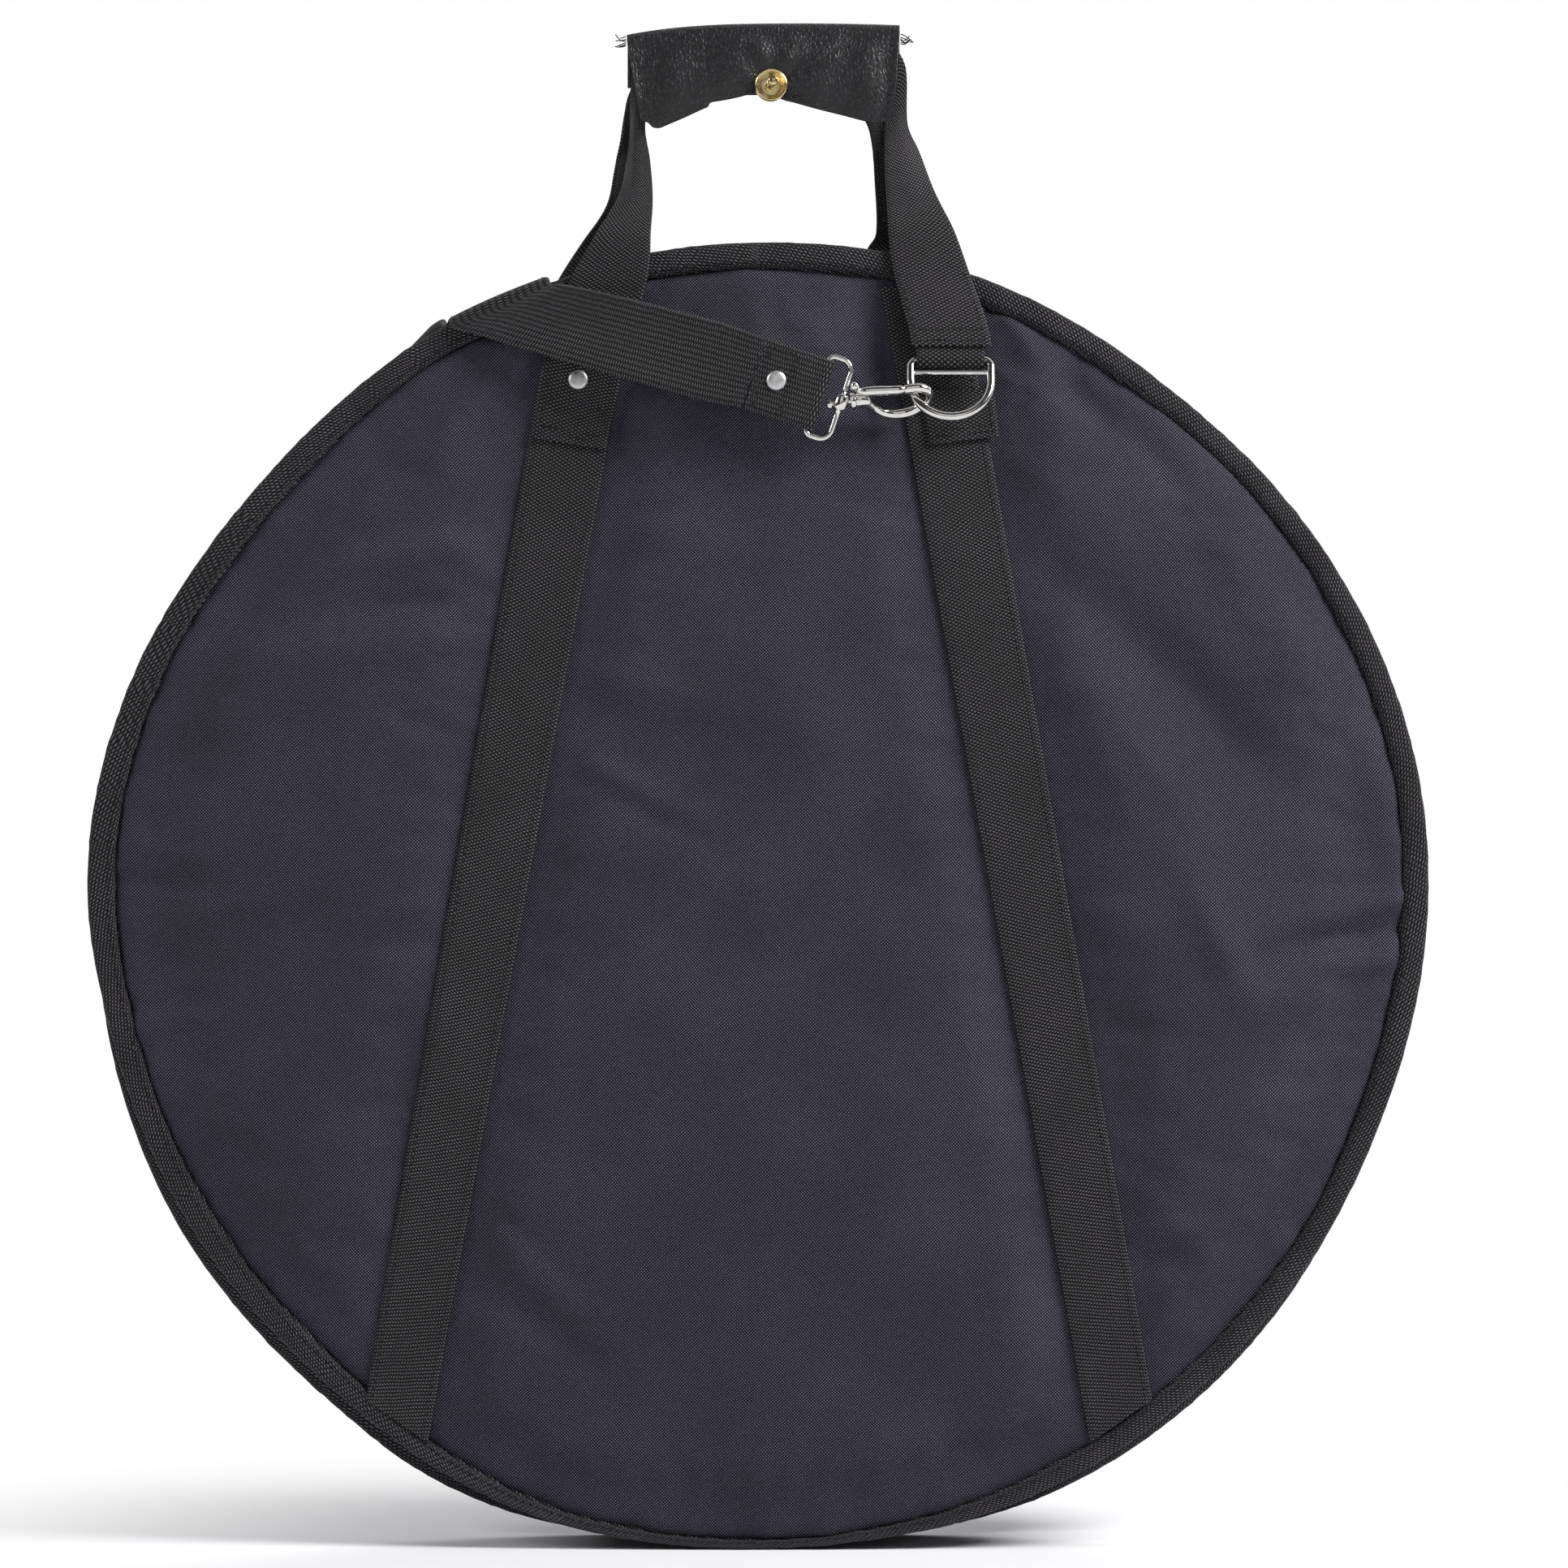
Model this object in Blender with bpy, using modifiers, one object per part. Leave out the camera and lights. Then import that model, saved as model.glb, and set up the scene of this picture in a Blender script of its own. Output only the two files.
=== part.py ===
"""Round padded cymbal bag for a 24 inch set.

Two crowned fabric halves meet at a zipped gusset. The front half carries the
front handle, the grip cover and the shoulder strap. The rear half folds back
along the line between the two ends of the zip.

Metres, +Z up. The strap side faces -Y. The bag stands on the flat that its own
weight presses into the rim, with the origin under its middle.
"""
import math

import bmesh
import bpy
import numpy as np
from mathutils import Matrix, Vector

# The whole bag
BAG_RADIUS = 0.315
FOOT_DROP = 0.009
CENTRE_HEIGHT = BAG_RADIUS - FOOT_DROP
FIT_GAP = 0.0003
SEGMENTS = 60
MERGE_DISTANCE = 0.00005

# Rim: two bound seams with the gusset set back between them
GUSSET_WIDTH = 0.060
GUSSET_THICKNESS = 0.0035
GUSSET_SET_BACK = 0.010
BINDING_WIDTH = 0.012
BINDING_THICKNESS = 0.005
BINDING_EDGE_ROUND = 0.0012
BINDING_FACE = GUSSET_WIDTH / 2 + BINDING_THICKNESS / 2
BINDING_BACK = GUSSET_WIDTH / 2 - BINDING_THICKNESS / 2
ZIP_RADIUS = BAG_RADIUS - GUSSET_SET_BACK

# Zip
TOOTH_WIDTH = 0.0028
TOOTH_THICKNESS = 0.0025
TAPE_WIDTH = 0.009
TAPE_THICKNESS = 0.0012
TOOTH_PROUD = 0.0007

# Padded panels
PANEL_RADIUS = BAG_RADIUS - BINDING_WIDTH - FIT_GAP
PANEL_RIM_DEPTH = 0.0312
PANEL_CROWN = 0.016
PANEL_CROWN_POWER = 4
PANEL_RING_SHARES = (0, 0.4, 0.62, 0.79, 0.91, 1)
CLOTH_THICKNESS = 0.0012
CAVITY_DEPTH = 0.031
LINING_THICKNESS = 0.0012
PAD_RADIUS = ZIP_RADIUS - GUSSET_THICKNESS - FIT_GAP

# The rear half folds along a level line between the zip's ends
FOLD_HEIGHT = 0.125
FOLD_DEPTH = 0.048
CUTTER_OVERRUN = 0.05

# Webbing
WEBBING_THICKNESS = 0.0018
WEBBING_LIFT = 0.0006
LONG_STRIP_ROWS = 20
SHORT_STRIP_ROWS = 6
LAYER_GAP = 0.0010
LONG_WEB_TOP_DROP = 0.0235
LONG_WEB_TOP_OUTER = 0.0963
LONG_WEB_TOP_INNER = 0.0575
LONG_WEB_FOOT_SET_BACK = 0.015
LONG_WEB_FOOT_OUTER_TURN = math.radians(38.4)
LONG_WEB_FOOT_INNER_TURN = math.radians(31.5)

# Handle ends that are sewn to the panel
HANDLE_FOOT_CLEARANCE = 0.0005
HANDLE_FOOT_HEIGHT = BAG_RADIUS + CENTRE_HEIGHT + HANDLE_FOOT_CLEARANCE
HANDLE_END_EDGES = (
    # distance from the middle, drop from the handle's foot
    ((0.0870, 0), (0.1000, 0.0515), (0.1074, 0.0952)),
    ((0.0520, 0), (0.0643, 0.0615), (0.0724, 0.1000)),
)
PATCH_EDGES = (
    # distance outward from the ring's middle, drop from its bar
    ((-0.0140, 0.0135), (-0.0105, 0.0395)),
    ((0.0205, 0.0135), (0.0235, 0.0355)),
)

# D-ring and the webbing folded round its bar
RING_WIRE = 0.0045
RING_WIDTH = 0.0378
RING_STRAIGHT = 0.0110
RING_X = 0.0905
RING_BAR_DROP = 0.059
RING_STAND_OFF = 0.0090
RING_TILT = math.radians(25)
RING_CROSSBAR_WIRE = 0.0032
RING_CROSSBAR_DROP = 0.0064
RING_ARC_POINTS = 12
RING_TAB_WIDTH = 0.0320
RING_TAB_TOP_WIDTH = 0.0360
RING_TAB_TOP_X = 0.0785
RING_TAB_TOP_GAP = 0.0006
RING_TAB_BACK_RISE = 0.0255
RING_TAB_BACK_STAND_OFF = 0.0047
FOLD_STEPS = 6

# Carrying handles
HANDLE_CENTRE = 0.005
REAR_HANDLE_CENTRE = -0.005
HANDLE_HALF_WIDTH = 0.0875
FRONT_HANDLE_RISE = 0.0985
REAR_HANDLE_RISE = 0.085
REAR_HANDLE_PINCH_SHARE = 0.13
HANDLE_THICKNESS = 0.003
HANDLE_FOOT_DEPTH = 0.0362
FRONT_GRIP_DEPTH = 0.0115
REAR_GRIP_DEPTH = 0.0060
HANDLE_LEAN_SHARE = 0.48
HANDLE_OUTER_SHARES = (
    (-0.95, 0), (-0.80, 0.23), (-0.765, 0.40), (-0.745, 0.56), (-0.735, 0.86), (-0.64, 0.98),
    (-0.40, 1.0), (0, 1.0), (0.40, 1.0), (0.64, 0.98), (0.73, 0.88), (0.745, 0.56), (0.80, 0.45),
    (0.895, 0.226), (1.02, 0),
)
HANDLE_INNER_SHARES = (
    (-0.643, 0), (-0.635, 0.20), (-0.655, 0.38), (-0.68, 0.54), (-0.63, 0.665), (-0.52, 0.718),
    (-0.36, 0.728), (0, 0.728), (0.36, 0.728), (0.52, 0.718), (0.60, 0.665), (0.63, 0.54), (0.63, 0.37),
    (0.638, 0.17), (0.643, 0),
)

# Leather grip cover, press stud and loose flap
LEATHER_THICKNESS = 0.0018
COVER_HALF_WIDTH = 0.0635
COVER_TAB_SHARE = 0.74
COVER_TAB_DROP = 0.0436
COVER_MIDDLE_DROP = 0.0306
COVER_BACK_DROP = 0.020
FLAP_HALF_WIDTH = 0.046
FLAP_REACH = 0.066
FLAP_SAG = 0.011
FLAP_SAG_POWER = 2.2
FLAP_ROWS = 8
STUD_RADIUS = 0.00775
STUD_THICKNESS = 0.0014
STUD_POST_RADIUS = 0.0023
STUD_POST_HEIGHT = 0.0058
STUD_X = 0.0056
SOCKET_RADIUS = 0.0060
SOCKET_HEIGHT = 0.0022
CAP_RADIUS = 0.0072
CAP_HEIGHT = 0.0018
SOCKET_REACH_SHARE = 0.80

# Rivets
RIVET_RADIUS = 0.0046
RIVET_HEIGHT = 0.0018
HANDLE_RIVET_X = 0.0855
HANDLE_RIVET_DROP = 0.0675
STRAP_RIVET_BACK = 0.0205

# Snap hook, in its own frame: along the hook, then towards its bow
HOOK_REACH = 0.0350
WIRE_SEAT = 0.0030
FRONT_BOW_TURN = math.radians(50)
FRONT_HOOK_PITCH = math.radians(7.5)
FRONT_HOOK_DROP = 0.0195
PIN_RADIUS = 0.0012
PIN_HEAD_RADIUS = 0.0026
BARREL_RADIUS = 0.0035
BARREL_HALF = 0.0026
COLLAR_RADIUS = 0.0042
HOOK_ROUTE = (
    (-0.0064, 0, PIN_HEAD_RADIUS), (-0.0046, 0, PIN_HEAD_RADIUS), (-0.0045, 0, PIN_RADIUS),
    (0.0045, 0, PIN_RADIUS), (0.0046, 0, COLLAR_RADIUS), (0.0072, 0, COLLAR_RADIUS),
    (0.0075, 0, 0.0034), (0.0105, 0.0003, 0.0032), (0.0128, 0.0030, 0.0025), (0.0155, 0.0070, 0.0020),
    (0.0195, 0.0108, 0.0019), (0.0245, 0.0127, 0.0020), (0.0300, 0.0129, 0.0021), (0.0355, 0.0110, 0.0021),
    (0.0398, 0.0074, 0.0019), (0.0418, 0.0030, 0.0018), (0.0410, -0.0004, 0.0018), (0.0384, -0.0026, 0.0018),
    (0.0345, -0.0032, 0.0017), (0.0304, -0.0031, 0.0016),
)
GATE_ROUTE = (
    (0.0072, -0.0098, 0.0016), (0.0082, -0.0072, 0.0014), (0.0102, -0.0056, 0.0014),
    (0.0150, -0.0050, 0.0014), (0.0240, -0.0038, 0.0014), (0.0299, -0.0031, 0.0013),
)
GATE_PIVOT = (0.0102, -0.0056)

# Wire eye that the strap goes through
EYE_WIRE = 0.0027
EYE_LENGTH = 0.039
EYE_DEPTH = 0.0115
EYE_CORNER = 0.0028
STRAP_FOLD_WIDTH = 0.0325
STRAP_FOLD_LENGTH = 0.031
STRAP_THICKNESS = 0.0016

# Shoulder strap
STRAP_WIDTH = 0.038
STRAP_SLOPE = math.radians(18.4)
STRAP_EDGE_TURN = math.radians(22.9)
STRAP_EDGE_SET_BACK = 0.001
STRAP_EDGE_HALF = 0.0275
STRAP_EDGE_GAP = 0.0017
STRAP_FRONT_ROWS = 9
STRAP_DROP_POWER = 2.2
STRAP_JOIN_GAP = 0.0010
STRAP_OVER_RIM = 0.0020
RIM_X_SHARES = (0.4006, 0.4095, 0.4270)
RIM_WIDTH_SHARES = (1.39, 1.32, 1.24)
BACK_X_SHARES = (0.4476, 0.4698, 0.4857, 0.4889, 0.4841, 0.4730, 0.4571, 0.4476)
BACK_HEIGHT_SHARES = (0.9444, 0.9098, 0.8615, 0.7729, 0.6441, 0.4831, 0.3543, 0.2899)
BACK_WIDTH_SHARES = (1.18, 1.08, 1.03, 1, 1, 1, 1, 1)
BACK_STAND_OFFS = (0.0047, 0.0075, 0.0088, 0.0075, 0.0064, 0.0065, 0.0071, 0.0083)
RIM_TURN = math.radians(24)
BACK_TURNS = tuple(math.radians(turn) for turn in (23, 18, 9, 3, -1, -3, -4, -5))
LOOP_RADIUS = 0.0085
LOOP_DROP = 0.0105
LOOP_SHIFT = 0.005
LOOP_STEPS = 6

# Slide adjuster on the strap's return
ADJUSTER_WIDTH = 0.047
ADJUSTER_HEIGHT = 0.026
ADJUSTER_BAR = 0.0034
ADJUSTER_THICKNESS = 0.0024
ADJUSTER_SHARE = 0.55
ADJUSTER_CORNER_SHARE = 0.6
ADJUSTER_GAP = 0.0006

# Zip sliders and pulls
SLIDER_LENGTH = 0.015
SLIDER_WIDTH = 0.0095
SLIDER_HEIGHT = 0.0032
SLIDER_BRIDGE_WIDTH = 0.0040
SLIDER_BRIDGE_HEIGHT = 0.0062
SLIDER_MEET_ANGLE = -35.6
SLIDER_GAP = 0.0015
PULL_LENGTH = 0.026
PULL_WIDTH = 0.0080
PULL_THICKNESS = 0.0018
PULL_LIFT_ANGLE = math.radians(6)
PULL_ROOT = 0.0018
PULL_SLOT_LENGTH = 0.006
PULL_SLOT_WIDTH = 0.003
END_STEPS = 6


for leftover in list(bpy.data.objects):
    bpy.data.objects.remove(leftover)
for leftover in list(bpy.data.collections):
    bpy.data.collections.remove(leftover)
BAG = bpy.data.collections.new("cymbal_bag")
CUTTERS = bpy.data.collections.new("cutters")
bpy.context.scene.collection.children.link(BAG)
bpy.context.scene.collection.children.link(CUTTERS)
PIECES = {}


# Materials

def finish(name, colour, roughness, metallic=0.0):
    """A Principled material with one colour, which is given in linear RGB."""
    made = bpy.data.materials.new(name)
    made.use_nodes = True
    shader = made.node_tree.nodes["Principled BSDF"]
    shader.inputs["Base Color"].default_value = (*colour, 1)
    shader.inputs["Roughness"].default_value = roughness
    shader.inputs["Metallic"].default_value = metallic
    made.diffuse_color = (*colour, 1)
    return made


OXFORD = finish("oxford_cloth", (0.032, 0.030, 0.043), 0.78)
TWILL = finish("twill_binding", (0.026, 0.024, 0.028), 0.85)
WEBBING = finish("black_webbing", (0.028, 0.026, 0.029), 0.80)
LEATHER = finish("pebbled_leather", (0.036, 0.033, 0.042), 0.48)
FOAM = finish("foam_padding", (0.16, 0.16, 0.17), 0.95)
LINING = finish("nylon_lining", (0.030, 0.030, 0.034), 0.70)
NICKEL = finish("nickel_plate", (0.66, 0.65, 0.62), 0.18, 1.0)
BRASS = finish("antique_brass", (0.55, 0.43, 0.24), 0.28, 1.0)
ZIP_COIL = finish("zip_coil", (0.020, 0.020, 0.022), 0.45)
PLASTIC = finish("black_plastic", (0.022, 0.022, 0.024), 0.40)
PULL_RUBBER = finish("pull_rubber", (0.020, 0.020, 0.022), 0.55)


# Ways to make a piece

def add_piece(name, mesh, material, location=(0, 0, 0), rotation=(0, 0, 0)):
    """A named sub-part in the bag's collection."""
    made = bpy.data.objects.new(name, mesh)
    made.location = location
    made.rotation_euler = rotation
    mesh.materials.clear()
    mesh.materials.append(material)
    BAG.objects.link(made)
    PIECES[name] = made
    return made


def evaluated_mesh(source):
    """The mesh that an object's modifiers or bevel give, with loose caps welded."""
    bpy.context.view_layer.update()
    graph = bpy.context.evaluated_depsgraph_get()
    mesh = bpy.data.meshes.new_from_object(source.evaluated_get(graph))
    work = bmesh.new()
    work.from_mesh(mesh)
    bmesh.ops.remove_doubles(work, verts=work.verts, dist=MERGE_DISTANCE)
    bmesh.ops.recalc_face_normals(work, faces=work.faces)
    work.to_mesh(mesh)
    work.free()
    return mesh


def foot_factor(x, up):
    """How far the weight on the foot draws a point of the round rim in towards the centre."""
    reach = math.hypot(x, up)
    down = -up / reach if reach > 0 else 0
    return min(1, CENTRE_HEIGHT / BAG_RADIUS / down) if down > 0 else 1


def turned(name, section, material):
    """A section of (radius, depth) turned about the bag's axis, then flattened at the foot.

    Depth runs from the bag's middle towards the strap side.
    """
    profile = bpy.data.meshes.new(name)
    count = len(section)
    ends = count - 1 if section[0][0] == 0 else count
    edges = [(n, (n + 1) % count) for n in range(ends)]
    profile.from_pydata([(radius, 0, depth) for radius, depth in section], edges, [])
    spun = bpy.data.objects.new(name + "_profile", profile)
    CUTTERS.objects.link(spun)
    screw = spun.modifiers.new("turn", "SCREW")
    screw.steps = SEGMENTS
    screw.render_steps = SEGMENTS
    screw.use_merge_vertices = True
    screw.merge_threshold = MERGE_DISTANCE
    mesh = evaluated_mesh(spun)
    bpy.data.objects.remove(spun)
    for vertex in mesh.vertices:
        factor = foot_factor(vertex.co.x, vertex.co.y)
        vertex.co.x *= factor
        vertex.co.y *= factor
    mesh.shade_smooth()
    mesh.set_sharp_from_angle(angle=math.radians(40))
    return add_piece(name, mesh, material, (0, 0, CENTRE_HEIGHT), (math.pi / 2, 0, 0))


def fold_cutter(name, above):
    """A box over, or under, the level fold line."""
    side = 2 * (BAG_RADIUS + CUTTER_OVERRUN)
    bpy.ops.mesh.primitive_cube_add(size=side)
    box = bpy.context.object
    box.name = name
    step = (side - FIT_GAP) / 2
    box.location = (0, 0, FOLD_HEIGHT + (step if above else -step))
    for holder in list(box.users_collection):
        holder.objects.unlink(box)
    CUTTERS.objects.link(box)
    box.hide_render = True
    box.display_type = "WIRE"
    return box


def cut(piece, cutter, operation="DIFFERENCE"):
    """One exact Boolean, kept as a modifier."""
    made = piece.modifiers.new("cut", "BOOLEAN")
    made.operation = operation
    made.solver = "EXACT"
    made.object = cutter
    return piece


def sheet(name, rows, thickness, material, toward):
    """Rows of points on a sheet's inner face, made solid on the side of the first face's `toward`."""
    origin = Vector(rows[0][0])
    wide = len(rows[0])
    points = [Vector(p) - origin for row in rows for p in row]
    faces = []
    for i in range(len(rows) - 1):
        for j in range(wide - 1):
            corner = i * wide + j
            faces.append((corner, corner + 1, corner + wide + 1, corner + wide))
    mesh = bpy.data.meshes.new(name)
    mesh.from_pydata(points, [], faces)
    mesh.update()
    if mesh.polygons[0].normal.dot(Vector(toward)) < 0:
        mesh.flip_normals()
    made = add_piece(name, mesh, material, origin)
    solid = made.modifiers.new("thickness", "SOLIDIFY")
    solid.thickness = thickness
    solid.offset = 1
    solid.use_even_offset = True
    solid.use_quality_normals = True
    return made


def wire(name, points, material, closed=False):
    """Points of (place, radius) joined by a round wire, as a mesh with its caps welded."""
    curve = bpy.data.curves.new(name, "CURVE")
    curve.dimensions = "3D"
    curve.bevel_depth = 1
    curve.bevel_resolution = 2
    curve.use_fill_caps = True
    curve.twist_mode = "MINIMUM"
    spline = curve.splines.new("POLY")
    spline.points.add(len(points) - 1)
    origin = Vector(points[0][0])
    for knot, (place, radius) in zip(spline.points, points):
        knot.co = (*(Vector(place) - origin), 1)
        knot.radius = radius
    spline.use_cyclic_u = closed
    guide = bpy.data.objects.new(name + "_route", curve)
    CUTTERS.objects.link(guide)
    mesh = evaluated_mesh(guide)
    bpy.data.objects.remove(guide)
    mesh.shade_smooth()
    mesh.set_sharp_from_angle(angle=math.radians(40))
    return add_piece(name, mesh, material, origin)


def button(name, profile, place, out, material, steps=20):
    """A small turned piece. Its (radius, height) profile runs from the top down, along `out`."""
    mesh = bpy.data.meshes.new(name)
    count = len(profile)
    ends = count - 1 if profile[0][0] == 0 else count
    edges = [(n, (n + 1) % count) for n in range(ends)]
    mesh.from_pydata([(radius, 0, height) for radius, height in profile], edges, [])
    made = add_piece(name, mesh, material, place)
    made.rotation_mode = "QUATERNION"
    made.rotation_quaternion = Vector(out).to_track_quat("Z", "Y")
    screw = made.modifiers.new("turn", "SCREW")
    screw.steps = steps
    screw.render_steps = steps
    screw.use_merge_vertices = True
    screw.merge_threshold = MERGE_DISTANCE
    return made


def flat_plate(name, outlines, thickness, material, matrix):
    """Closed outlines filled and extruded. The first is the edge and the others are holes."""
    curve = bpy.data.curves.new(name, "CURVE")
    curve.dimensions = "2D"
    curve.fill_mode = "BOTH"
    curve.extrude = thickness / 2
    for outline in outlines:
        spline = curve.splines.new("POLY")
        spline.points.add(len(outline) - 1)
        for knot, (x, y) in zip(spline.points, outline):
            knot.co = (x, y, 0, 1)
        spline.use_cyclic_u = True
    guide = bpy.data.objects.new(name + "_outline", curve)
    CUTTERS.objects.link(guide)
    mesh = evaluated_mesh(guide)
    bpy.data.objects.remove(guide)
    made = add_piece(name, mesh, material)
    made.matrix_world = matrix
    return made


def as_cutter(piece):
    """Moves a shape out of the bag, to be joined to another one."""
    BAG.objects.unlink(piece)
    CUTTERS.objects.link(piece)
    del PIECES[piece.name]
    piece.hide_render = True
    piece.display_type = "WIRE"
    return piece


def carry(name, place, names):
    """An empty on a joint's axis, with the pieces that turn about it."""
    bpy.context.view_layer.update()
    pivot = bpy.data.objects.new(name, None)
    pivot.location = place
    BAG.objects.link(pivot)
    bpy.context.view_layer.update()
    for carried in names:
        piece = PIECES[carried]
        piece.parent = pivot
        piece.matrix_parent_inverse = pivot.matrix_world.inverted()


def row_between(a, b, count=3):
    """Points evenly from a to b."""
    return [Vector(a).lerp(Vector(b), n / (count - 1)) for n in range(count)]


# Rim, gusset and zip

def ring_section(outer, inner, low, high, edge_round=0.0):
    """A rectangle, listed down its outer side, with its outer corners cut if asked."""
    return [
        (outer - edge_round, high), (outer, high - edge_round), (outer, low + edge_round),
        (outer - edge_round, low), (inner, low), (inner, high),
    ] if edge_round else [(outer, high), (outer, low), (inner, low), (inner, high)]


ABOVE_FOLD = fold_cutter("above_fold", True)
BELOW_FOLD = fold_cutter("below_fold", False)


def binding(name, side):
    """The twill tape bound round a panel's seam."""
    low, high = sorted((side * BINDING_BACK, side * BINDING_FACE))
    section = ring_section(BAG_RADIUS, BAG_RADIUS - BINDING_WIDTH, low, high, BINDING_EDGE_ROUND)
    return turned(name, section, TWILL)


def gusset_ring(name, low, high, material):
    """A strip of the padded gusset, from one depth to another."""
    section = ring_section(ZIP_RADIUS, ZIP_RADIUS - GUSSET_THICKNESS, low, high)
    return turned(name, section, material)


def make_rim():
    """Bindings, gusset strips, zip tapes and teeth. The rear ones end at the fold."""
    edge = BINDING_BACK - FIT_GAP
    strip = TOOTH_WIDTH + TAPE_WIDTH + 3 * FIT_GAP
    binding("front_binding", 1)
    cut(binding("rear_binding", -1), BELOW_FOLD)
    cut(binding("rear_binding_foot", -1), ABOVE_FOLD)
    cut(gusset_ring("front_gusset", strip, edge, OXFORD), BELOW_FOLD)
    cut(gusset_ring("rear_gusset", -edge, -strip, OXFORD), BELOW_FOLD)
    cut(gusset_ring("bottom_gusset", -edge, edge, OXFORD), ABOVE_FOLD)
    for name, side in (("front", 1), ("rear", -1)):
        near = TOOTH_WIDTH + FIT_GAP
        low, high = sorted((side * near, side * (near + TAPE_WIDTH)))
        tape = ring_section(ZIP_RADIUS - FIT_GAP, ZIP_RADIUS - FIT_GAP - TAPE_THICKNESS, low, high)
        cut(turned("zip_tape_" + name, tape, TWILL), BELOW_FOLD)
        low, high = sorted((side * FIT_GAP / 2, side * TOOTH_WIDTH))
        top = ZIP_RADIUS + TOOTH_PROUD
        teeth = ring_section(top, top - TOOTH_THICKNESS, low, high)
        cut(turned("zip_teeth_" + name, teeth, ZIP_COIL), BELOW_FOLD)


# Panels, padding and lining

def crown_depth(share):
    """How far the panel's cloth stands from the bag's middle, at a share of its radius."""
    return PANEL_RIM_DEPTH + PANEL_CROWN * (1 - share**PANEL_CROWN_POWER)


RING_DEPTHS = [crown_depth(share) for share in PANEL_RING_SHARES]


def face_depth(x, z):
    """The depth of the bag's face at a place: its panel's cloth, or its binding."""
    up = z - CENTRE_HEIGHT
    share = math.hypot(x, up) / (PANEL_RADIUS * foot_factor(x, up))
    return max(float(np.interp(share, PANEL_RING_SHARES, RING_DEPTHS)), BINDING_FACE)


def padded_half(prefix, side):
    """One crowned panel of cloth, its foam pad and its flat lining, as three full discs."""
    cloth = [(share * PANEL_RADIUS, depth) for share, depth in zip(PANEL_RING_SHARES, RING_DEPTHS)]
    under = [(radius, depth - CLOTH_THICKNESS) for radius, depth in cloth]
    top = [(radius, depth - FIT_GAP) for radius, depth in under if radius < PAD_RADIUS]
    edge_depth = float(np.interp(PAD_RADIUS, [r for r, _ in under], [d for _, d in under])) - FIT_GAP
    inside = CAVITY_DEPTH / 2
    pad_back = inside + LINING_THICKNESS + FIT_GAP
    pad = top + [(PAD_RADIUS, edge_depth), (PAD_RADIUS, pad_back), (0, pad_back)]
    lining_edge = inside + LINING_THICKNESS
    lining = [(0, lining_edge), (PAD_RADIUS, lining_edge), (PAD_RADIUS, inside), (0, inside)]
    made = []
    for name, section, material in (
        ("panel", cloth + under[::-1], OXFORD),
        ("foam", pad, FOAM),
        ("lining", lining, LINING),
    ):
        if side < 0:
            section = [(radius, -depth) for radius, depth in reversed(section)]
        made.append((name, prefix, section, material))
    return made


def make_panels():
    """Front half whole. Rear half in two, above and below the fold."""
    for name, prefix, section, material in padded_half("front", 1):
        turned(f"{prefix}_{name}", section, material)
    for name, prefix, section, material in padded_half("rear", -1):
        cut(turned(f"{prefix}_{name}", section, material), BELOW_FOLD)
        cut(turned(f"{prefix}_{name}_foot", section, material), ABOVE_FOLD)


# Webbing on the panels

def edge_point(edge, share):
    """A point at a share of the way along an edge of (x, z) points."""
    places = [n / (len(edge) - 1) for n in range(len(edge))]
    return [float(np.interp(share, places, [p[axis] for p in edge])) for axis in (0, 1)]


def panel_strip(name, edges, lift, side, row_count):
    """Webbing laid on a face, between two edges of (x, z) points. Side is 1 front, -1 rear."""
    rows = []
    for n in range(row_count):
        a, b = (Vector((*edge_point(edge, n / (row_count - 1)), 0)) for edge in edges)
        rows.append([Vector((p.x, -side * (face_depth(p.x, p.y) + lift), p.y)) for p in row_between(a, b)])
    return sheet(name, rows, WEBBING_THICKNESS, WEBBING, (0, -side, 0))


def mirrored(edges, sign):
    """Edges of (x, z) points on the left (-1) or the right (1) of the bag."""
    return [[(sign * x, z) for x, z in edge] for edge in edges]


def cut_at(edge, height, below):
    """A straight two-point edge, kept below or above a height."""
    (x0, z0), (x1, z1) = edge
    share = (z0 - height) / (z0 - z1)
    met = (x0 + share * (x1 - x0), height)
    return [met, edge[1]] if below else [edge[0], met]


def hung(edges, x, top):
    """Edges of (x, z) points from edges of (distance, drop)."""
    return [[(x + out, top - drop) for out, drop in edge] for edge in edges]


def long_web_edges():
    """Outer and inner edge of a long strap, from under the handle's end to the foot."""
    top = HANDLE_FOOT_HEIGHT - LONG_WEB_TOP_DROP
    reach = BAG_RADIUS - LONG_WEB_FOOT_SET_BACK
    return [
        [(x, top), (reach * math.sin(turn), CENTRE_HEIGHT - reach * math.cos(turn))]
        for x, turn in (
            (LONG_WEB_TOP_OUTER, LONG_WEB_FOOT_OUTER_TURN),
            (LONG_WEB_TOP_INNER, LONG_WEB_FOOT_INNER_TURN),
        )
    ]


def make_long_webbing():
    """Four long straps. The rear ones are cut at the fold."""
    edges = long_web_edges()
    for side_name, sign in (("left", -1), ("right", 1)):
        placed = mirrored(edges, sign)
        panel_strip("front_webbing_" + side_name, placed, WEBBING_LIFT, 1, LONG_STRIP_ROWS)
        upper = [cut_at(edge, FOLD_HEIGHT + FIT_GAP, False) for edge in placed]
        lower = [cut_at(edge, FOLD_HEIGHT - FIT_GAP, True) for edge in placed]
        panel_strip("rear_webbing_" + side_name, upper, WEBBING_LIFT, -1, LONG_STRIP_ROWS)
        panel_strip(f"rear_webbing_{side_name}_foot", lower, WEBBING_LIFT, -1, SHORT_STRIP_ROWS)


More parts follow.
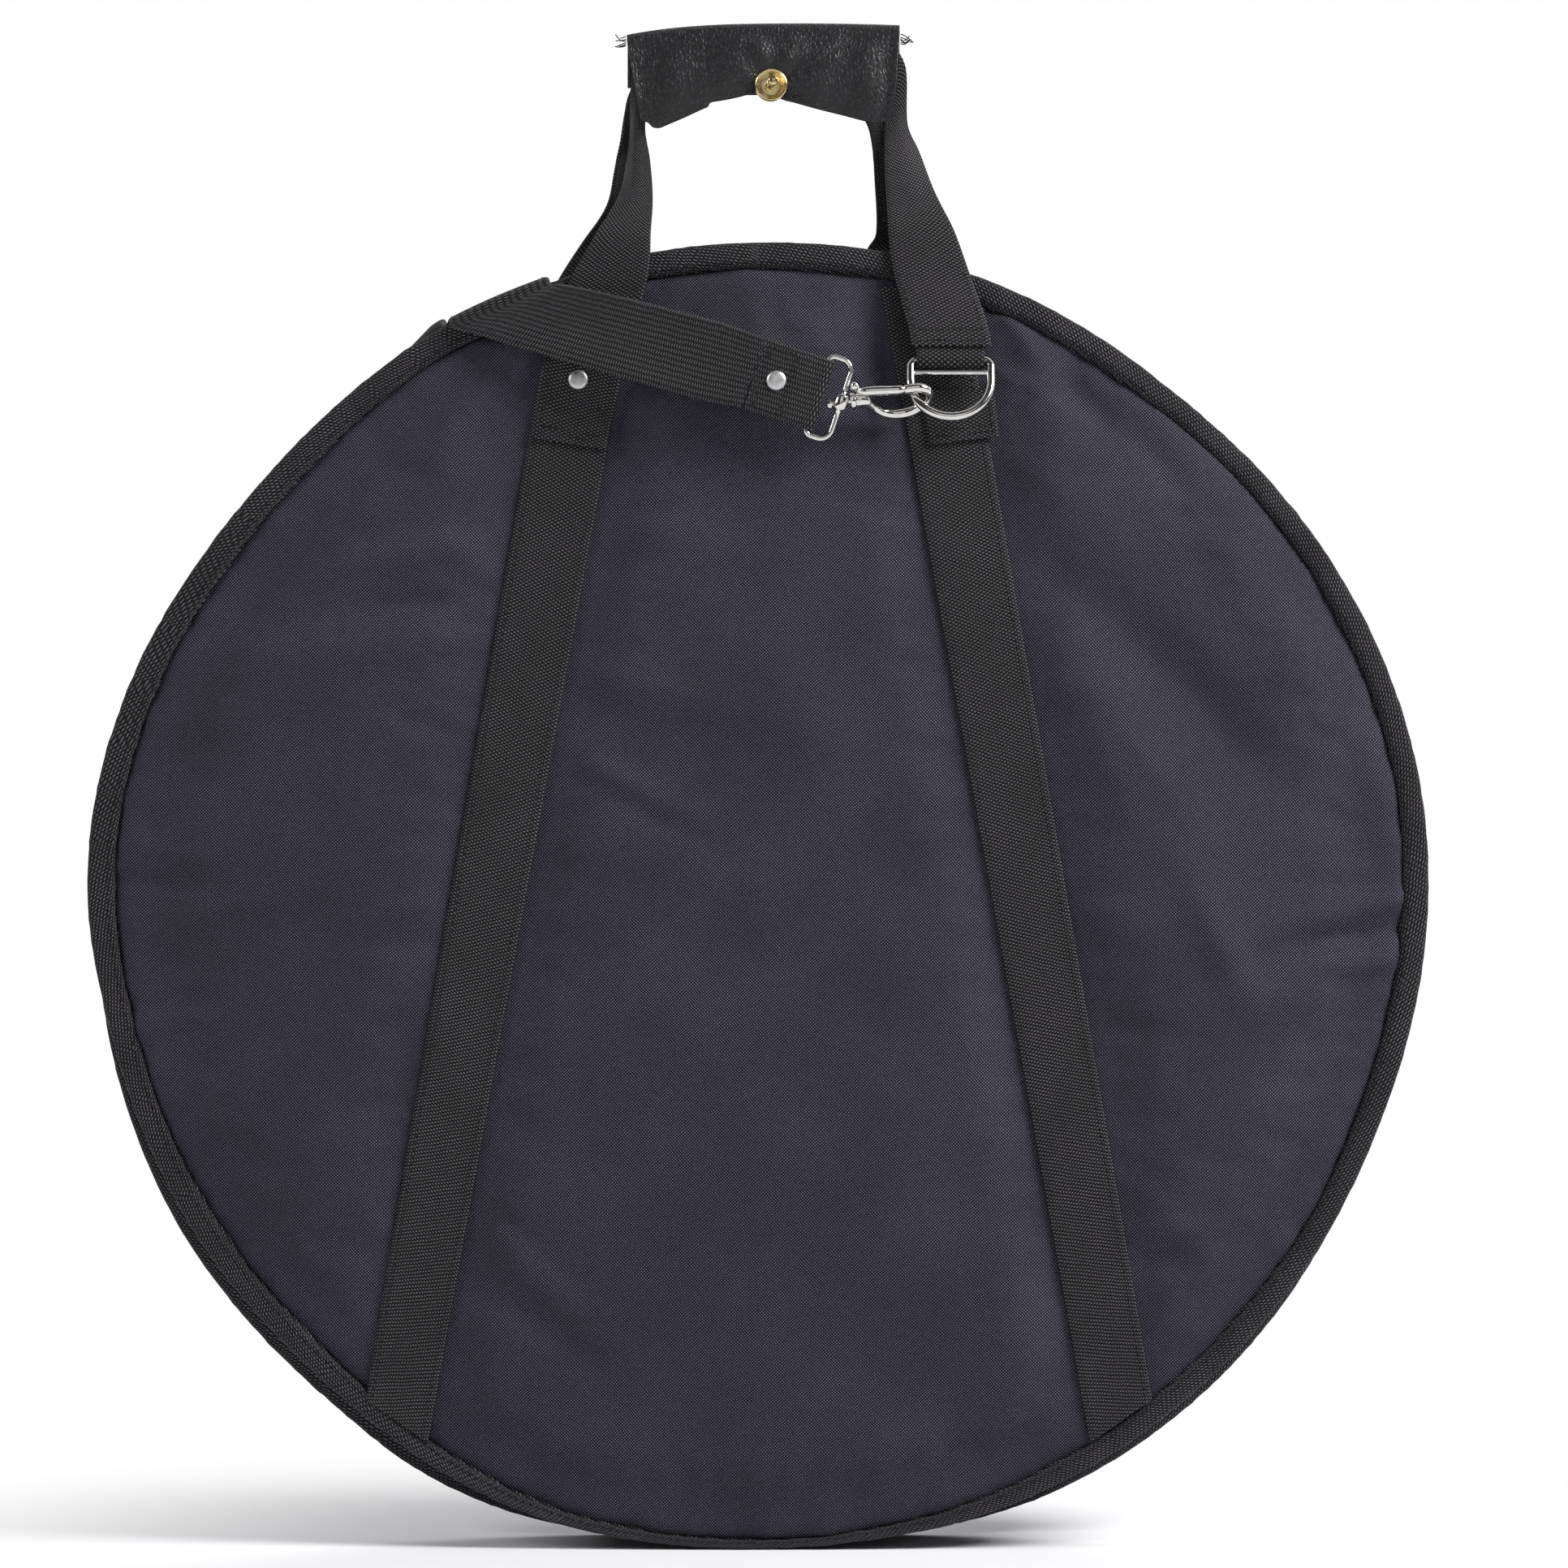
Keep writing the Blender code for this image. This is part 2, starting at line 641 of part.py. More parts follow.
SECOND_LIFT = WEBBING_LIFT + WEBBING_THICKNESS + LAYER_GAP
RING_BAR_HEIGHT = HANDLE_FOOT_HEIGHT - RING_BAR_DROP
RING_BAR_DEPTH = face_depth(RING_X, RING_BAR_HEIGHT) + RING_STAND_OFF


def ring_tab(name, side):
    """The handle's other end: down over the binding, round the D-ring's bar and back up behind."""
    wrap = RING_WIRE / 2 + FIT_GAP
    x = side * RING_X
    top_x = side * RING_TAB_TOP_X
    top_depth = BINDING_FACE + RING_TAB_TOP_GAP
    back_height = RING_BAR_HEIGHT + RING_TAB_BACK_RISE
    back_depth = face_depth(RING_X, back_height) + RING_TAB_BACK_STAND_OFF + WEBBING_THICKNESS
    path = [
        (HANDLE_FOOT_HEIGHT, top_depth, top_x, RING_TAB_TOP_WIDTH),
        (HANDLE_FOOT_HEIGHT - BINDING_WIDTH, top_depth + FIT_GAP, top_x, RING_TAB_TOP_WIDTH),
        (back_height + FIT_GAP, back_depth + WEBBING_THICKNESS, (x + top_x) / 2, RING_TAB_TOP_WIDTH),
    ]
    for n in range(FOLD_STEPS + 1):
        turn = math.pi * n / FOLD_STEPS
        depth = RING_BAR_DEPTH + wrap * math.cos(turn)
        path.append((RING_BAR_HEIGHT - wrap * math.sin(turn), depth, x, RING_TAB_WIDTH))
    path.append((back_height, back_depth, x, RING_TAB_WIDTH))
    rows = []
    for z, depth, middle, width in path:
        left = (middle - width / 2, -side * depth, z)
        right = (middle + width / 2, -side * depth, z)
        rows.append(row_between(left, right))
    return sheet(name, rows, STRAP_THICKNESS, WEBBING, (0, -side, 0))


def make_handle_ends():
    """The riveted end, the end round the D-ring and the patch under the ring, front and rear.

    The rear set is the front set turned half round, so its ring is on the other strap.
    """
    for side_name, side in (("front", 1), ("rear", -1)):
        tab = mirrored(hung(HANDLE_END_EDGES, 0, HANDLE_FOOT_HEIGHT), -side)
        patch = mirrored(hung(PATCH_EDGES, RING_X, RING_BAR_HEIGHT), side)
        panel_strip(side_name + "_handle_end", tab, SECOND_LIFT, side, SHORT_STRIP_ROWS)
        panel_strip(side_name + "_ring_patch", patch, SECOND_LIFT, side, SHORT_STRIP_ROWS)
        ring_tab(side_name + "_ring_tab", side)


# Carrying handles and the grip cover

def handle_edges(centre, rise, pinch):
    """Outer and inner edge of a handle, as (x, z) points. Pinch draws the grip's ends in."""
    foot = HANDLE_FOOT_HEIGHT + FIT_GAP
    return [
        [(centre + x * (1 - pinch * z) * HANDLE_HALF_WIDTH, foot + z * rise) for x, z in shares]
        for shares in (HANDLE_OUTER_SHARES, HANDLE_INNER_SHARES)
    ]


def handle(name, centre, rise, grip_depth, side, pinch=0):
    """A flat webbing loop that leans in from the panel's edge to the grip."""
    outer, inner = handle_edges(centre, rise, pinch)
    rows = []
    for a, b in zip(outer, inner):
        row = []
        for p in row_between((*a, 0), (*b, 0)):
            lean = min(1, (p.y - HANDLE_FOOT_HEIGHT) / (HANDLE_LEAN_SHARE * rise))
            outer_face = HANDLE_FOOT_DEPTH + (grip_depth - HANDLE_FOOT_DEPTH) * lean
            row.append((p.x, -side * (outer_face - HANDLE_THICKNESS), p.y))
        rows.append(row)
    return sheet(name, rows, HANDLE_THICKNESS, WEBBING, (0, -side, 0))


COVER_TOP = HANDLE_FOOT_HEIGHT + FIT_GAP + FRONT_HANDLE_RISE + FIT_GAP


def cover_drop(share):
    """How far the cover's front hangs at a share of its half width: deep end tabs, shallow middle."""
    past = max(0, (abs(share) - COVER_TAB_SHARE) / (1 - COVER_TAB_SHARE))
    return COVER_MIDDLE_DROP + (COVER_TAB_DROP - COVER_MIDDLE_DROP) * min(1, past)


def make_grip():
    """Leather folded over the front handle, with its stud, loose flap and socket."""
    front = FRONT_GRIP_DEPTH + FIT_GAP
    back = FRONT_GRIP_DEPTH - HANDLE_THICKNESS - FIT_GAP
    rows = []
    for share in (-1, -0.87, -0.74, -0.4, 0, 0.4, 0.74, 0.87, 1):
        x = HANDLE_CENTRE + share * COVER_HALF_WIDTH
        low = COVER_TOP - cover_drop(share)
        rows.append([
            (x, -front, low), (x, -front, (low + COVER_TOP) / 2), (x, -front, COVER_TOP),
            (x, -back, COVER_TOP), (x, -back, COVER_TOP - COVER_BACK_DROP),
        ])
    sheet("grip_cover", rows, LEATHER_THICKNESS, LEATHER, (0, -1, 0))

    stud_height = COVER_TOP - COVER_MIDDLE_DROP + STUD_RADIUS * 0.7
    base = -front - LEATHER_THICKNESS - FIT_GAP
    radius, post, tall = STUD_RADIUS, STUD_POST_RADIUS, STUD_POST_HEIGHT
    button("press_stud", [
        (0, tall), (post * 0.8, tall), (post, tall * 0.9), (post, tall * 0.7), (post * 0.78, tall * 0.6),
        (post * 0.9, STUD_THICKNESS), (radius * 0.8, STUD_THICKNESS * 0.7), (radius, STUD_THICKNESS),
        (radius, 0), (0, 0),
    ], (STUD_X, base, stud_height), (0, -1, 0), BRASS)

    start_y = -back
    start_z = COVER_TOP + LEATHER_THICKNESS + FIT_GAP
    flap = []
    for n in range(FLAP_ROWS + 1):
        share = n / FLAP_ROWS
        y = start_y + share * FLAP_REACH
        z = start_z - FLAP_SAG * share**FLAP_SAG_POWER
        half = FLAP_HALF_WIDTH * math.sqrt(1 - 0.75 * max(0, share - 0.8) / 0.2)
        flap.append(row_between((HANDLE_CENTRE - half, y, z), (HANDLE_CENTRE + half, y, z), 5))
    sheet("grip_flap", flap, LEATHER_THICKNESS, LEATHER, (0, 0, 1))

    slope = -FLAP_SAG * FLAP_SAG_POWER * SOCKET_REACH_SHARE ** (FLAP_SAG_POWER - 1) / FLAP_REACH
    out = Vector((0, -slope, 1)).normalized()
    seat = Vector((
        HANDLE_CENTRE,
        start_y + SOCKET_REACH_SHARE * FLAP_REACH,
        start_z - FLAP_SAG * SOCKET_REACH_SHARE**FLAP_SAG_POWER,
    ))
    radius, tall = SOCKET_RADIUS, SOCKET_HEIGHT
    button("stud_socket", [
        (0, tall * 0.4), (radius * 0.45, tall * 0.4), (radius * 0.5, tall), (radius * 0.75, tall),
        (radius, tall * 0.4), (radius, 0), (0, 0),
    ], seat - out * 2 * FIT_GAP, -out, BRASS)
    button("socket_cap", [
        (0, CAP_HEIGHT), (CAP_RADIUS * 0.6, CAP_HEIGHT * 0.85), (CAP_RADIUS, CAP_HEIGHT * 0.3),
        (CAP_RADIUS, 0), (0, 0),
    ], seat + out * (LEATHER_THICKNESS + 2 * FIT_GAP), out, BRASS)


def make_handles():
    """Front handle on the front half, rear handle on the rear half."""
    handle("front_handle", HANDLE_CENTRE, FRONT_HANDLE_RISE, FRONT_GRIP_DEPTH, 1)
    handle("rear_handle", REAR_HANDLE_CENTRE, REAR_HANDLE_RISE, REAR_GRIP_DEPTH, -1, REAR_HANDLE_PINCH_SHARE)


# D-rings, snap hooks and eyes

def ring_place(side, across, down):
    """A point of a D-ring's plane, from the middle of its bar."""
    return Vector((
        side * (RING_X + across),
        -side * (RING_BAR_DEPTH + down * math.sin(RING_TILT)),
        RING_BAR_HEIGHT - down * math.cos(RING_TILT),
    ))


def d_ring(name, side):
    """A straight bar and a round bow of one wire, with a thinner bar across under the tab's fold."""
    half = RING_WIDTH / 2
    route = [ring_place(side, -half, 0), ring_place(side, half, 0)]
    for n in range(RING_ARC_POINTS + 1):
        turn = math.pi * n / RING_ARC_POINTS
        route.append(ring_place(side, half * math.cos(turn), RING_STRAIGHT + half * math.sin(turn)))
    made = wire(name, [(place, RING_WIRE / 2) for place in route], NICKEL, closed=True)
    ends = [ring_place(side, across, RING_CROSSBAR_DROP) for across in (-half, half)]
    crossbar = wire(name + "_crossbar", [(place, RING_CROSSBAR_WIRE / 2) for place in ends], NICKEL)
    return cut(made, as_cutter(crossbar), "UNION")


def hook_frame(side):
    """Where a snap hook lies: its swivel's centre, its length's direction and its bow's direction.

    The front hook rises a little towards the ring and holds its left leg. The rear one hangs from the ring's bow.
    """
    if side > 0:
        half = RING_WIDTH / 2
        turn = math.pi - math.asin((FRONT_HOOK_DROP - RING_STRAIGHT) / half)
        held = ring_place(1, half * math.cos(turn), FRONT_HOOK_DROP)
        pitch = FRONT_HOOK_PITCH
        along = Vector((math.cos(pitch), 0, math.sin(pitch)))
        down = Vector((math.sin(pitch), 0, -math.cos(pitch)))
        bow = Vector((0, math.sin(FRONT_BOW_TURN), 0)) + down * math.cos(FRONT_BOW_TURN)
    else:
        held = ring_place(-1, 0, RING_STRAIGHT + RING_WIDTH / 2)
        along = Vector((0, 0, 1))
        bow = Vector((0, -1, 0))
    return held - along * HOOK_REACH - bow * WIRE_SEAT, along, bow


def hook_pieces(prefix, side):
    """The hook with its swivel pin, and its sprung gate with a thumb lever."""
    centre, along, bow = hook_frame(side)
    for name, route in (("_hook", HOOK_ROUTE), ("_hook_gate", GATE_ROUTE)):
        wire(prefix + name, [(centre + along * x + bow * b, radius) for x, b, radius in route], NICKEL)


def eye_frame(side):
    """The eye's centre, the strap's direction towards the hook and the eye's long direction."""
    centre, along, _ = hook_frame(side)
    if side > 0:
        strap = Vector((math.cos(STRAP_SLOPE), 0, -math.sin(STRAP_SLOPE)))
    else:
        strap = along
    return centre, strap, strap.cross(Vector((0, 1, 0)))


def eye(name, side):
    """A long wire loop that swells into a drilled barrel where the hook's pin passes."""
    centre, strap, length = eye_frame(side)
    half = EYE_LENGTH / 2
    radius = EYE_WIRE / 2
    barrel = BARREL_HALF
    route = []
    for along, across in (
        (0, -half + EYE_CORNER), (0, -barrel - EYE_WIRE), (0, -barrel), (0, barrel), (0, barrel + EYE_WIRE),
        (0, half - EYE_CORNER), (-EYE_CORNER * 0.3, half - EYE_CORNER * 0.3), (-EYE_CORNER, half),
        (-EYE_DEPTH + EYE_CORNER, half), (-EYE_DEPTH + EYE_CORNER * 0.3, half - EYE_CORNER * 0.3),
        (-EYE_DEPTH, half - EYE_CORNER), (-EYE_DEPTH, -half + EYE_CORNER),
        (-EYE_DEPTH + EYE_CORNER * 0.3, -half + EYE_CORNER * 0.3), (-EYE_DEPTH + EYE_CORNER, -half),
        (-EYE_CORNER, -half), (-EYE_CORNER * 0.3, -half + EYE_CORNER * 0.3),
    ):
        swollen = along == 0 and abs(across) <= barrel
        route.append((centre + strap * along + length * across, BARREL_RADIUS if swollen else radius))
    made = wire(name, route, NICKEL, closed=True)
    _, along_hook, _ = hook_frame(side)
    bpy.ops.mesh.primitive_cylinder_add(vertices=12, radius=PIN_RADIUS + FIT_GAP, depth=4 * BARREL_RADIUS)
    drill = bpy.context.object
    drill.name = name + "_drill"
    drill.location = centre
    drill.rotation_mode = "QUATERNION"
    drill.rotation_quaternion = along_hook.to_track_quat("Z", "Y")
    for holder in list(drill.users_collection):
        holder.objects.unlink(drill)
    CUTTERS.objects.link(drill)
    drill.hide_render = True
    drill.display_type = "WIRE"
    return cut(made, drill)


def strap_fold(name, side):
    """The strap's end: out along the front, round the eye's bar and back behind."""
    centre, strap, length = eye_frame(side)
    outward = Vector((0, -side, 0))
    wrap = EYE_WIRE / 2 + FIT_GAP
    bar = centre - strap * EYE_DEPTH
    spine = [bar - strap * STRAP_FOLD_LENGTH + outward * wrap]
    for n in range(FOLD_STEPS + 1):
        turn = math.pi * n / FOLD_STEPS
        spine.append(bar + strap * wrap * math.sin(turn) + outward * wrap * math.cos(turn))
    spine.append(bar - strap * STRAP_FOLD_LENGTH - outward * wrap)
    half = length * STRAP_FOLD_WIDTH / 2
    rows = [row_between(point - half, point + half) for point in spine]
    return sheet(name, rows, STRAP_THICKNESS, WEBBING, outward)


def strap_rivet(name, side):
    """The rivet through the strap's folded end."""
    centre, strap, _ = eye_frame(side)
    outward = Vector((0, -side, 0))
    lift = EYE_WIRE / 2 + STRAP_THICKNESS + 2 * FIT_GAP
    place = centre - strap * (EYE_DEPTH + STRAP_RIVET_BACK) + outward * lift
    rivet(name, place, outward)


def rivet(name, place, out):
    """A low domed rivet head."""
    radius, tall = RIVET_RADIUS, RIVET_HEIGHT
    button(name, [
        (0, tall), (radius * 0.5, tall * 0.88), (radius * 0.85, tall * 0.5), (radius, tall * 0.12),
        (radius, 0), (0, 0),
    ], place, out, NICKEL, 16)


def handle_rivet(name, side):
    """The rivet on the handle's sewn end, square to the cloth there."""
    x, z = -side * HANDLE_RIVET_X, HANDLE_FOOT_HEIGHT - HANDLE_RIVET_DROP
    span = RIVET_RADIUS
    slope_x = (face_depth(x + span, z) - face_depth(x - span, z)) / (2 * span)
    slope_z = (face_depth(x, z + span) - face_depth(x, z - span)) / (2 * span)
    out = Vector((-slope_x, -side, -slope_z)).normalized()
    lift = SECOND_LIFT + WEBBING_THICKNESS + 2 * FIT_GAP
    rivet(name, Vector((x, -side * (face_depth(x, z) + lift), z)), out)


def make_hardware():
    """Both rings, hooks, eyes, strap ends and rivets."""
    for prefix, side in (("front", 1), ("rear", -1)):
        d_ring(prefix + "_d_ring", side)
        hook_pieces(prefix, side)
        eye(prefix + "_hook_eye", side)
        strap_fold(prefix + "_strap_end", side)
        strap_rivet(prefix + "_strap_rivet", side)
        handle_rivet(prefix + "_handle_rivet", side)


# Shoulder strap

def make_strap_front():
    """From the sewn end near the hook, across the front and up to the rim."""
    centre, strap, length = eye_frame(1)
    start = centre - strap * (EYE_DEPTH + STRAP_FOLD_LENGTH + STRAP_JOIN_GAP)
    start.y -= EYE_WIRE / 2 + FIT_GAP
    half = length * STRAP_WIDTH / 2
    turn = STRAP_EDGE_TURN
    tangent = Vector((math.cos(turn), 0, math.sin(turn)))
    reach = BAG_RADIUS - STRAP_EDGE_SET_BACK
    edge_depth = BINDING_FACE + STRAP_EDGE_GAP
    finish_row = Vector((-reach * math.sin(turn), -edge_depth, CENTRE_HEIGHT + reach * math.cos(turn)))
    rows = []
    for n in range(STRAP_FRONT_ROWS + 1):
        share = n / STRAP_FRONT_ROWS
        middle = start.lerp(finish_row, share)
        middle.y = start.y + (finish_row.y - start.y) * share**STRAP_DROP_POWER
        across = half.lerp(tangent * STRAP_EDGE_HALF, share**3)
        rows.append(row_between(middle - across, middle + across))
    return sheet("shoulder_strap_front", rows, STRAP_THICKNESS, WEBBING, (0, -1, 0))


def back_route():
    """Over the rim, down behind the bag and round the loop's bottom, as (middle, half of the width)."""
    stations = []
    half = STRAP_WIDTH / 2
    for step, x_share, width in zip((-1, 0, 1), RIM_X_SHARES, RIM_WIDTH_SHARES):
        x = -x_share * BAG_RADIUS
        z = CENTRE_HEIGHT + math.sqrt((BAG_RADIUS + STRAP_OVER_RIM) ** 2 - x * x)
        stations.append((Vector((x, step * GUSSET_WIDTH / 2, z)), RIM_TURN, width * half))
    rows = zip(BACK_X_SHARES, BACK_HEIGHT_SHARES, BACK_STAND_OFFS, BACK_TURNS, BACK_WIDTH_SHARES)
    for x_share, height_share, stand_off, turn, width in rows:
        x, z = -x_share * BAG_RADIUS, height_share * (BAG_RADIUS + CENTRE_HEIGHT)
        stations.append((Vector((x, face_depth(x, z) + stand_off, z)), turn, width * half))
    last = stations[-1][0]
    for n in range(LOOP_STEPS + 1):
        turn = math.pi * n / LOOP_STEPS
        out = LOOP_RADIUS * (1 - math.cos(turn))
        down = LOOP_DROP + LOOP_RADIUS * math.sin(turn)
        across = LOOP_SHIFT * (n + 1) / (LOOP_STEPS + 2)
        stations.append((last + Vector((across, out, -down)), BACK_TURNS[-1], half))
    stations.append((last + Vector((LOOP_SHIFT, 2 * LOOP_RADIUS, 0)), BACK_TURNS[-1], half))
    return [(middle, Vector((math.cos(turn), 0, math.sin(turn))) * wide) for middle, turn, wide in stations]


def make_strap_back():
    """Over the rim, down behind the bag and round at the bottom of its loop."""
    rows = [row_between(middle - across, middle + across) for middle, across in back_route()]
    return sheet("shoulder_strap_back", rows, STRAP_THICKNESS, WEBBING, (0, 0, 1))


def make_strap_return():
    """From the loop's bottom up to the strap's rear end, woven through the slide adjuster."""
    centre, strap, length = eye_frame(-1)
    last, wide = back_route()[-1]
    start = last + Vector((0, 0, STRAP_JOIN_GAP))
    end = centre - strap * (EYE_DEPTH + STRAP_FOLD_LENGTH + STRAP_JOIN_GAP)
    end.y += EYE_WIRE / 2 + FIT_GAP
    run = end - start
    up = run.normalized()
    half, level = wide.length, wide.normalized()
    square = (level - up * level.dot(up)).normalized()
    over = ADJUSTER_THICKNESS / 2 + ADJUSTER_GAP
    under = -over - STRAP_THICKNESS
    weave = (
        (ADJUSTER_HEIGHT, 0), (ADJUSTER_HEIGHT / 2 + ADJUSTER_GAP, over),
        (ADJUSTER_HEIGHT / 2 - ADJUSTER_BAR - ADJUSTER_GAP, over), (ADJUSTER_BAR / 2 + ADJUSTER_GAP, under),
    )
    middle_along = run.length * ADJUSTER_SHARE
    stations = [(0, 0, level)]
    stations += [(middle_along - along, shift, square) for along, shift in weave]
    stations += [(middle_along + along, shift, square) for along, shift in reversed(weave)]
    stations.append((run.length, 0, -length if length.dot(level) < 0 else length))
    rows = []
    for along, shift, across in stations:
        middle = start.lerp(end, along / run.length) + Vector((0, shift, 0))
        rows.append(row_between(middle - across * half, middle + across * half))
    sheet("shoulder_strap_return", rows, STRAP_THICKNESS, WEBBING, (0, 1, 0))

    turn = Matrix((square, up, square.cross(up))).transposed().to_4x4()
    turn.translation = start.lerp(end, ADJUSTER_SHARE)
    wide, high, bar = ADJUSTER_WIDTH / 2, ADJUSTER_HEIGHT / 2, ADJUSTER_BAR
    corner = bar * ADJUSTER_CORNER_SHARE
    frame = [
        (-wide + corner, -high), (wide - corner, -high), (wide, -high + corner), (wide, high - corner),
        (wide - corner, high), (-wide + corner, high), (-wide, high - corner), (-wide, -high + corner),
    ]
    slots = []
    for low, top in ((-high + bar, -bar / 2), (bar / 2, high - bar)):
        slots.append([(-wide + bar, low), (wide - bar, low), (wide - bar, top), (-wide + bar, top)])
    flat_plate("slide_adjuster", [frame, *slots], ADJUSTER_THICKNESS, PLASTIC, turn)


# Zip sliders and pulls

def slider_frame(angle):
    """A frame on the zip at an angle clockwise from the top: along the zip, across it, outward."""
    turn = math.radians(angle)
    along = Vector((math.cos(turn), 0, -math.sin(turn)))
    out = Vector((math.sin(turn), 0, math.cos(turn)))
    made = Matrix((along, Vector((0, 1, 0)), out)).transposed().to_4x4()
    made.translation = Vector((0, 0, CENTRE_HEIGHT)) + out * (ZIP_RADIUS + TOOTH_PROUD + FIT_GAP)
    return made


def slider(name, angle, heading):
    """A slider's body with the bridge that its pull hangs on. Heading is the way the pull points."""
    base = slider_frame(angle) @ Matrix.Rotation(math.pi / 2, 4, "X")
    long, high = SLIDER_LENGTH / 2, SLIDER_HEIGHT
    slant = high * 0.5
    body = [
        (-long, 0), (long, 0), (long, high - slant),
        (long - slant, high), (-long + slant, high), (-long, high - slant),
    ]
    made = flat_plate(name, [body], SLIDER_WIDTH, NICKEL, base)
    foot, top = SLIDER_BRIDGE_HEIGHT * 0.2, SLIDER_BRIDGE_HEIGHT
    bridge = [
        (-foot, high - slant), (foot, high - slant), (foot, top - foot / 2),
        (foot / 2, top), (-foot / 2, top), (-foot, top - foot / 2),
    ]
    post = flat_plate(name + "_bridge", [bridge], SLIDER_BRIDGE_WIDTH, NICKEL, base)
    cut(made, as_cutter(post), "UNION")
    lean = Matrix.Rotation(-heading * PULL_LIFT_ANGLE, 4, "Y")
    pull_frame = slider_frame(angle) @ Matrix.Translation((0, 0, SLIDER_BRIDGE_HEIGHT - foot / 2)) @ lean
    half = PULL_WIDTH / 2
    tip = PULL_LENGTH - half
    edge = [(heading * PULL_ROOT, -half * 0.7), (heading * half, -half)]
    for n in range(END_STEPS + 1):
        turn = math.pi * n / END_STEPS - math.pi / 2
        edge.append((heading * (tip + half * math.cos(turn)), half * math.sin(turn)))
    edge += [(heading * half, half), (heading * PULL_ROOT, half * 0.7)]
    slot_a, slot_b = tip - PULL_SLOT_LENGTH / 2, tip + PULL_SLOT_LENGTH / 2
    slot_half = PULL_SLOT_WIDTH / 2
    slot = [
        (heading * slot_a, -slot_half), (heading * slot_b, -slot_half),
        (heading * slot_b, slot_half), (heading * slot_a, slot_half),
    ]
    flat_plate(name.replace("slider", "pull"), [edge, slot], PULL_THICKNESS, PULL_RUBBER, pull_frame)


SLIDER_HALF_ANGLE = math.degrees((SLIDER_LENGTH + SLIDER_GAP) / 2 / ZIP_RADIUS)


def make_sliders():
    """Two sliders that meet at eleven o'clock, each pull pointing away from the meeting."""
    slider("left_zip_slider", SLIDER_MEET_ANGLE - SLIDER_HALF_ANGLE, -1)
    slider("right_zip_slider", SLIDER_MEET_ANGLE + SLIDER_HALF_ANGLE, 1)


# What turns about what

def slider_pivot(angle):
    """Where a pull hangs on its slider."""
    return (slider_frame(angle) @ Matrix.Translation((0, 0, SLIDER_BRIDGE_HEIGHT * 0.9))).translation


def gate_pivot(side):
    """Where a gate turns on its hook."""
    centre, along, bow = hook_frame(side)
    return centre + along * GATE_PIVOT[0] + bow * GATE_PIVOT[1]


def make_pivots():
    """One empty on each joint's axis, carrying the pieces that turn there."""
    carry("lid_fold", (0, FOLD_DEPTH, FOLD_HEIGHT), [
        "rear_panel", "rear_foam", "rear_lining", "rear_binding", "rear_gusset", "zip_tape_rear",
        "zip_teeth_rear", "rear_webbing_left", "rear_webbing_right", "rear_handle_end", "rear_ring_tab",
        "rear_ring_patch", "rear_handle_rivet", "shoulder_strap_return", "slide_adjuster",
    ])
    foot = HANDLE_FOOT_HEIGHT + FIT_GAP
    carry("front_handle_fold", (0, -HANDLE_FOOT_DEPTH, foot), ["front_handle", "grip_cover", "press_stud"])
    carry("rear_handle_fold", (0, HANDLE_FOOT_DEPTH, foot), ["rear_handle"])
    flap_y = -FRONT_GRIP_DEPTH + HANDLE_THICKNESS + FIT_GAP
    flap_z = COVER_TOP + 1.5 * LEATHER_THICKNESS + FIT_GAP
    carry("grip_flap_fold", (HANDLE_CENTRE, flap_y, flap_z), ["grip_flap", "stud_socket", "socket_cap"])
    for prefix, side in (("front", 1), ("rear", -1)):
        bar = ring_place(side, 0, 0)
        held = [prefix + "_d_ring", prefix + "_hook_eye"]
        if side < 0:
            held += ["rear_strap_end", "rear_strap_rivet"]
        carry(prefix + "_ring_bar", bar, held)
        carry(prefix + "_swivel", hook_frame(side)[0], [prefix + "_hook"])
        carry(prefix + "_gate_pin", gate_pivot(side), [prefix + "_hook_gate"])
    for name, half in (("left", -SLIDER_HALF_ANGLE), ("right", SLIDER_HALF_ANGLE)):
        carry(name + "_slider_track", (0, 0, CENTRE_HEIGHT), [name + "_zip_slider"])
        carry(name + "_pull_bar", slider_pivot(SLIDER_MEET_ANGLE + half), [name + "_zip_pull"])


make_rim()
make_panels()
make_long_webbing()
make_handle_ends()
make_handles()
make_grip()
make_hardware()
make_strap_front()
make_strap_back()
make_strap_return()
make_sliders()
make_pivots()
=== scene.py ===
"""Looks of a round padded cymbal bag: navy oxford covers, twill bindings, black webbing and bright snap hooks."""

import math

import bpy
import numpy as np
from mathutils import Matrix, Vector, noise
from mathutils.bvhtree import BVHTree


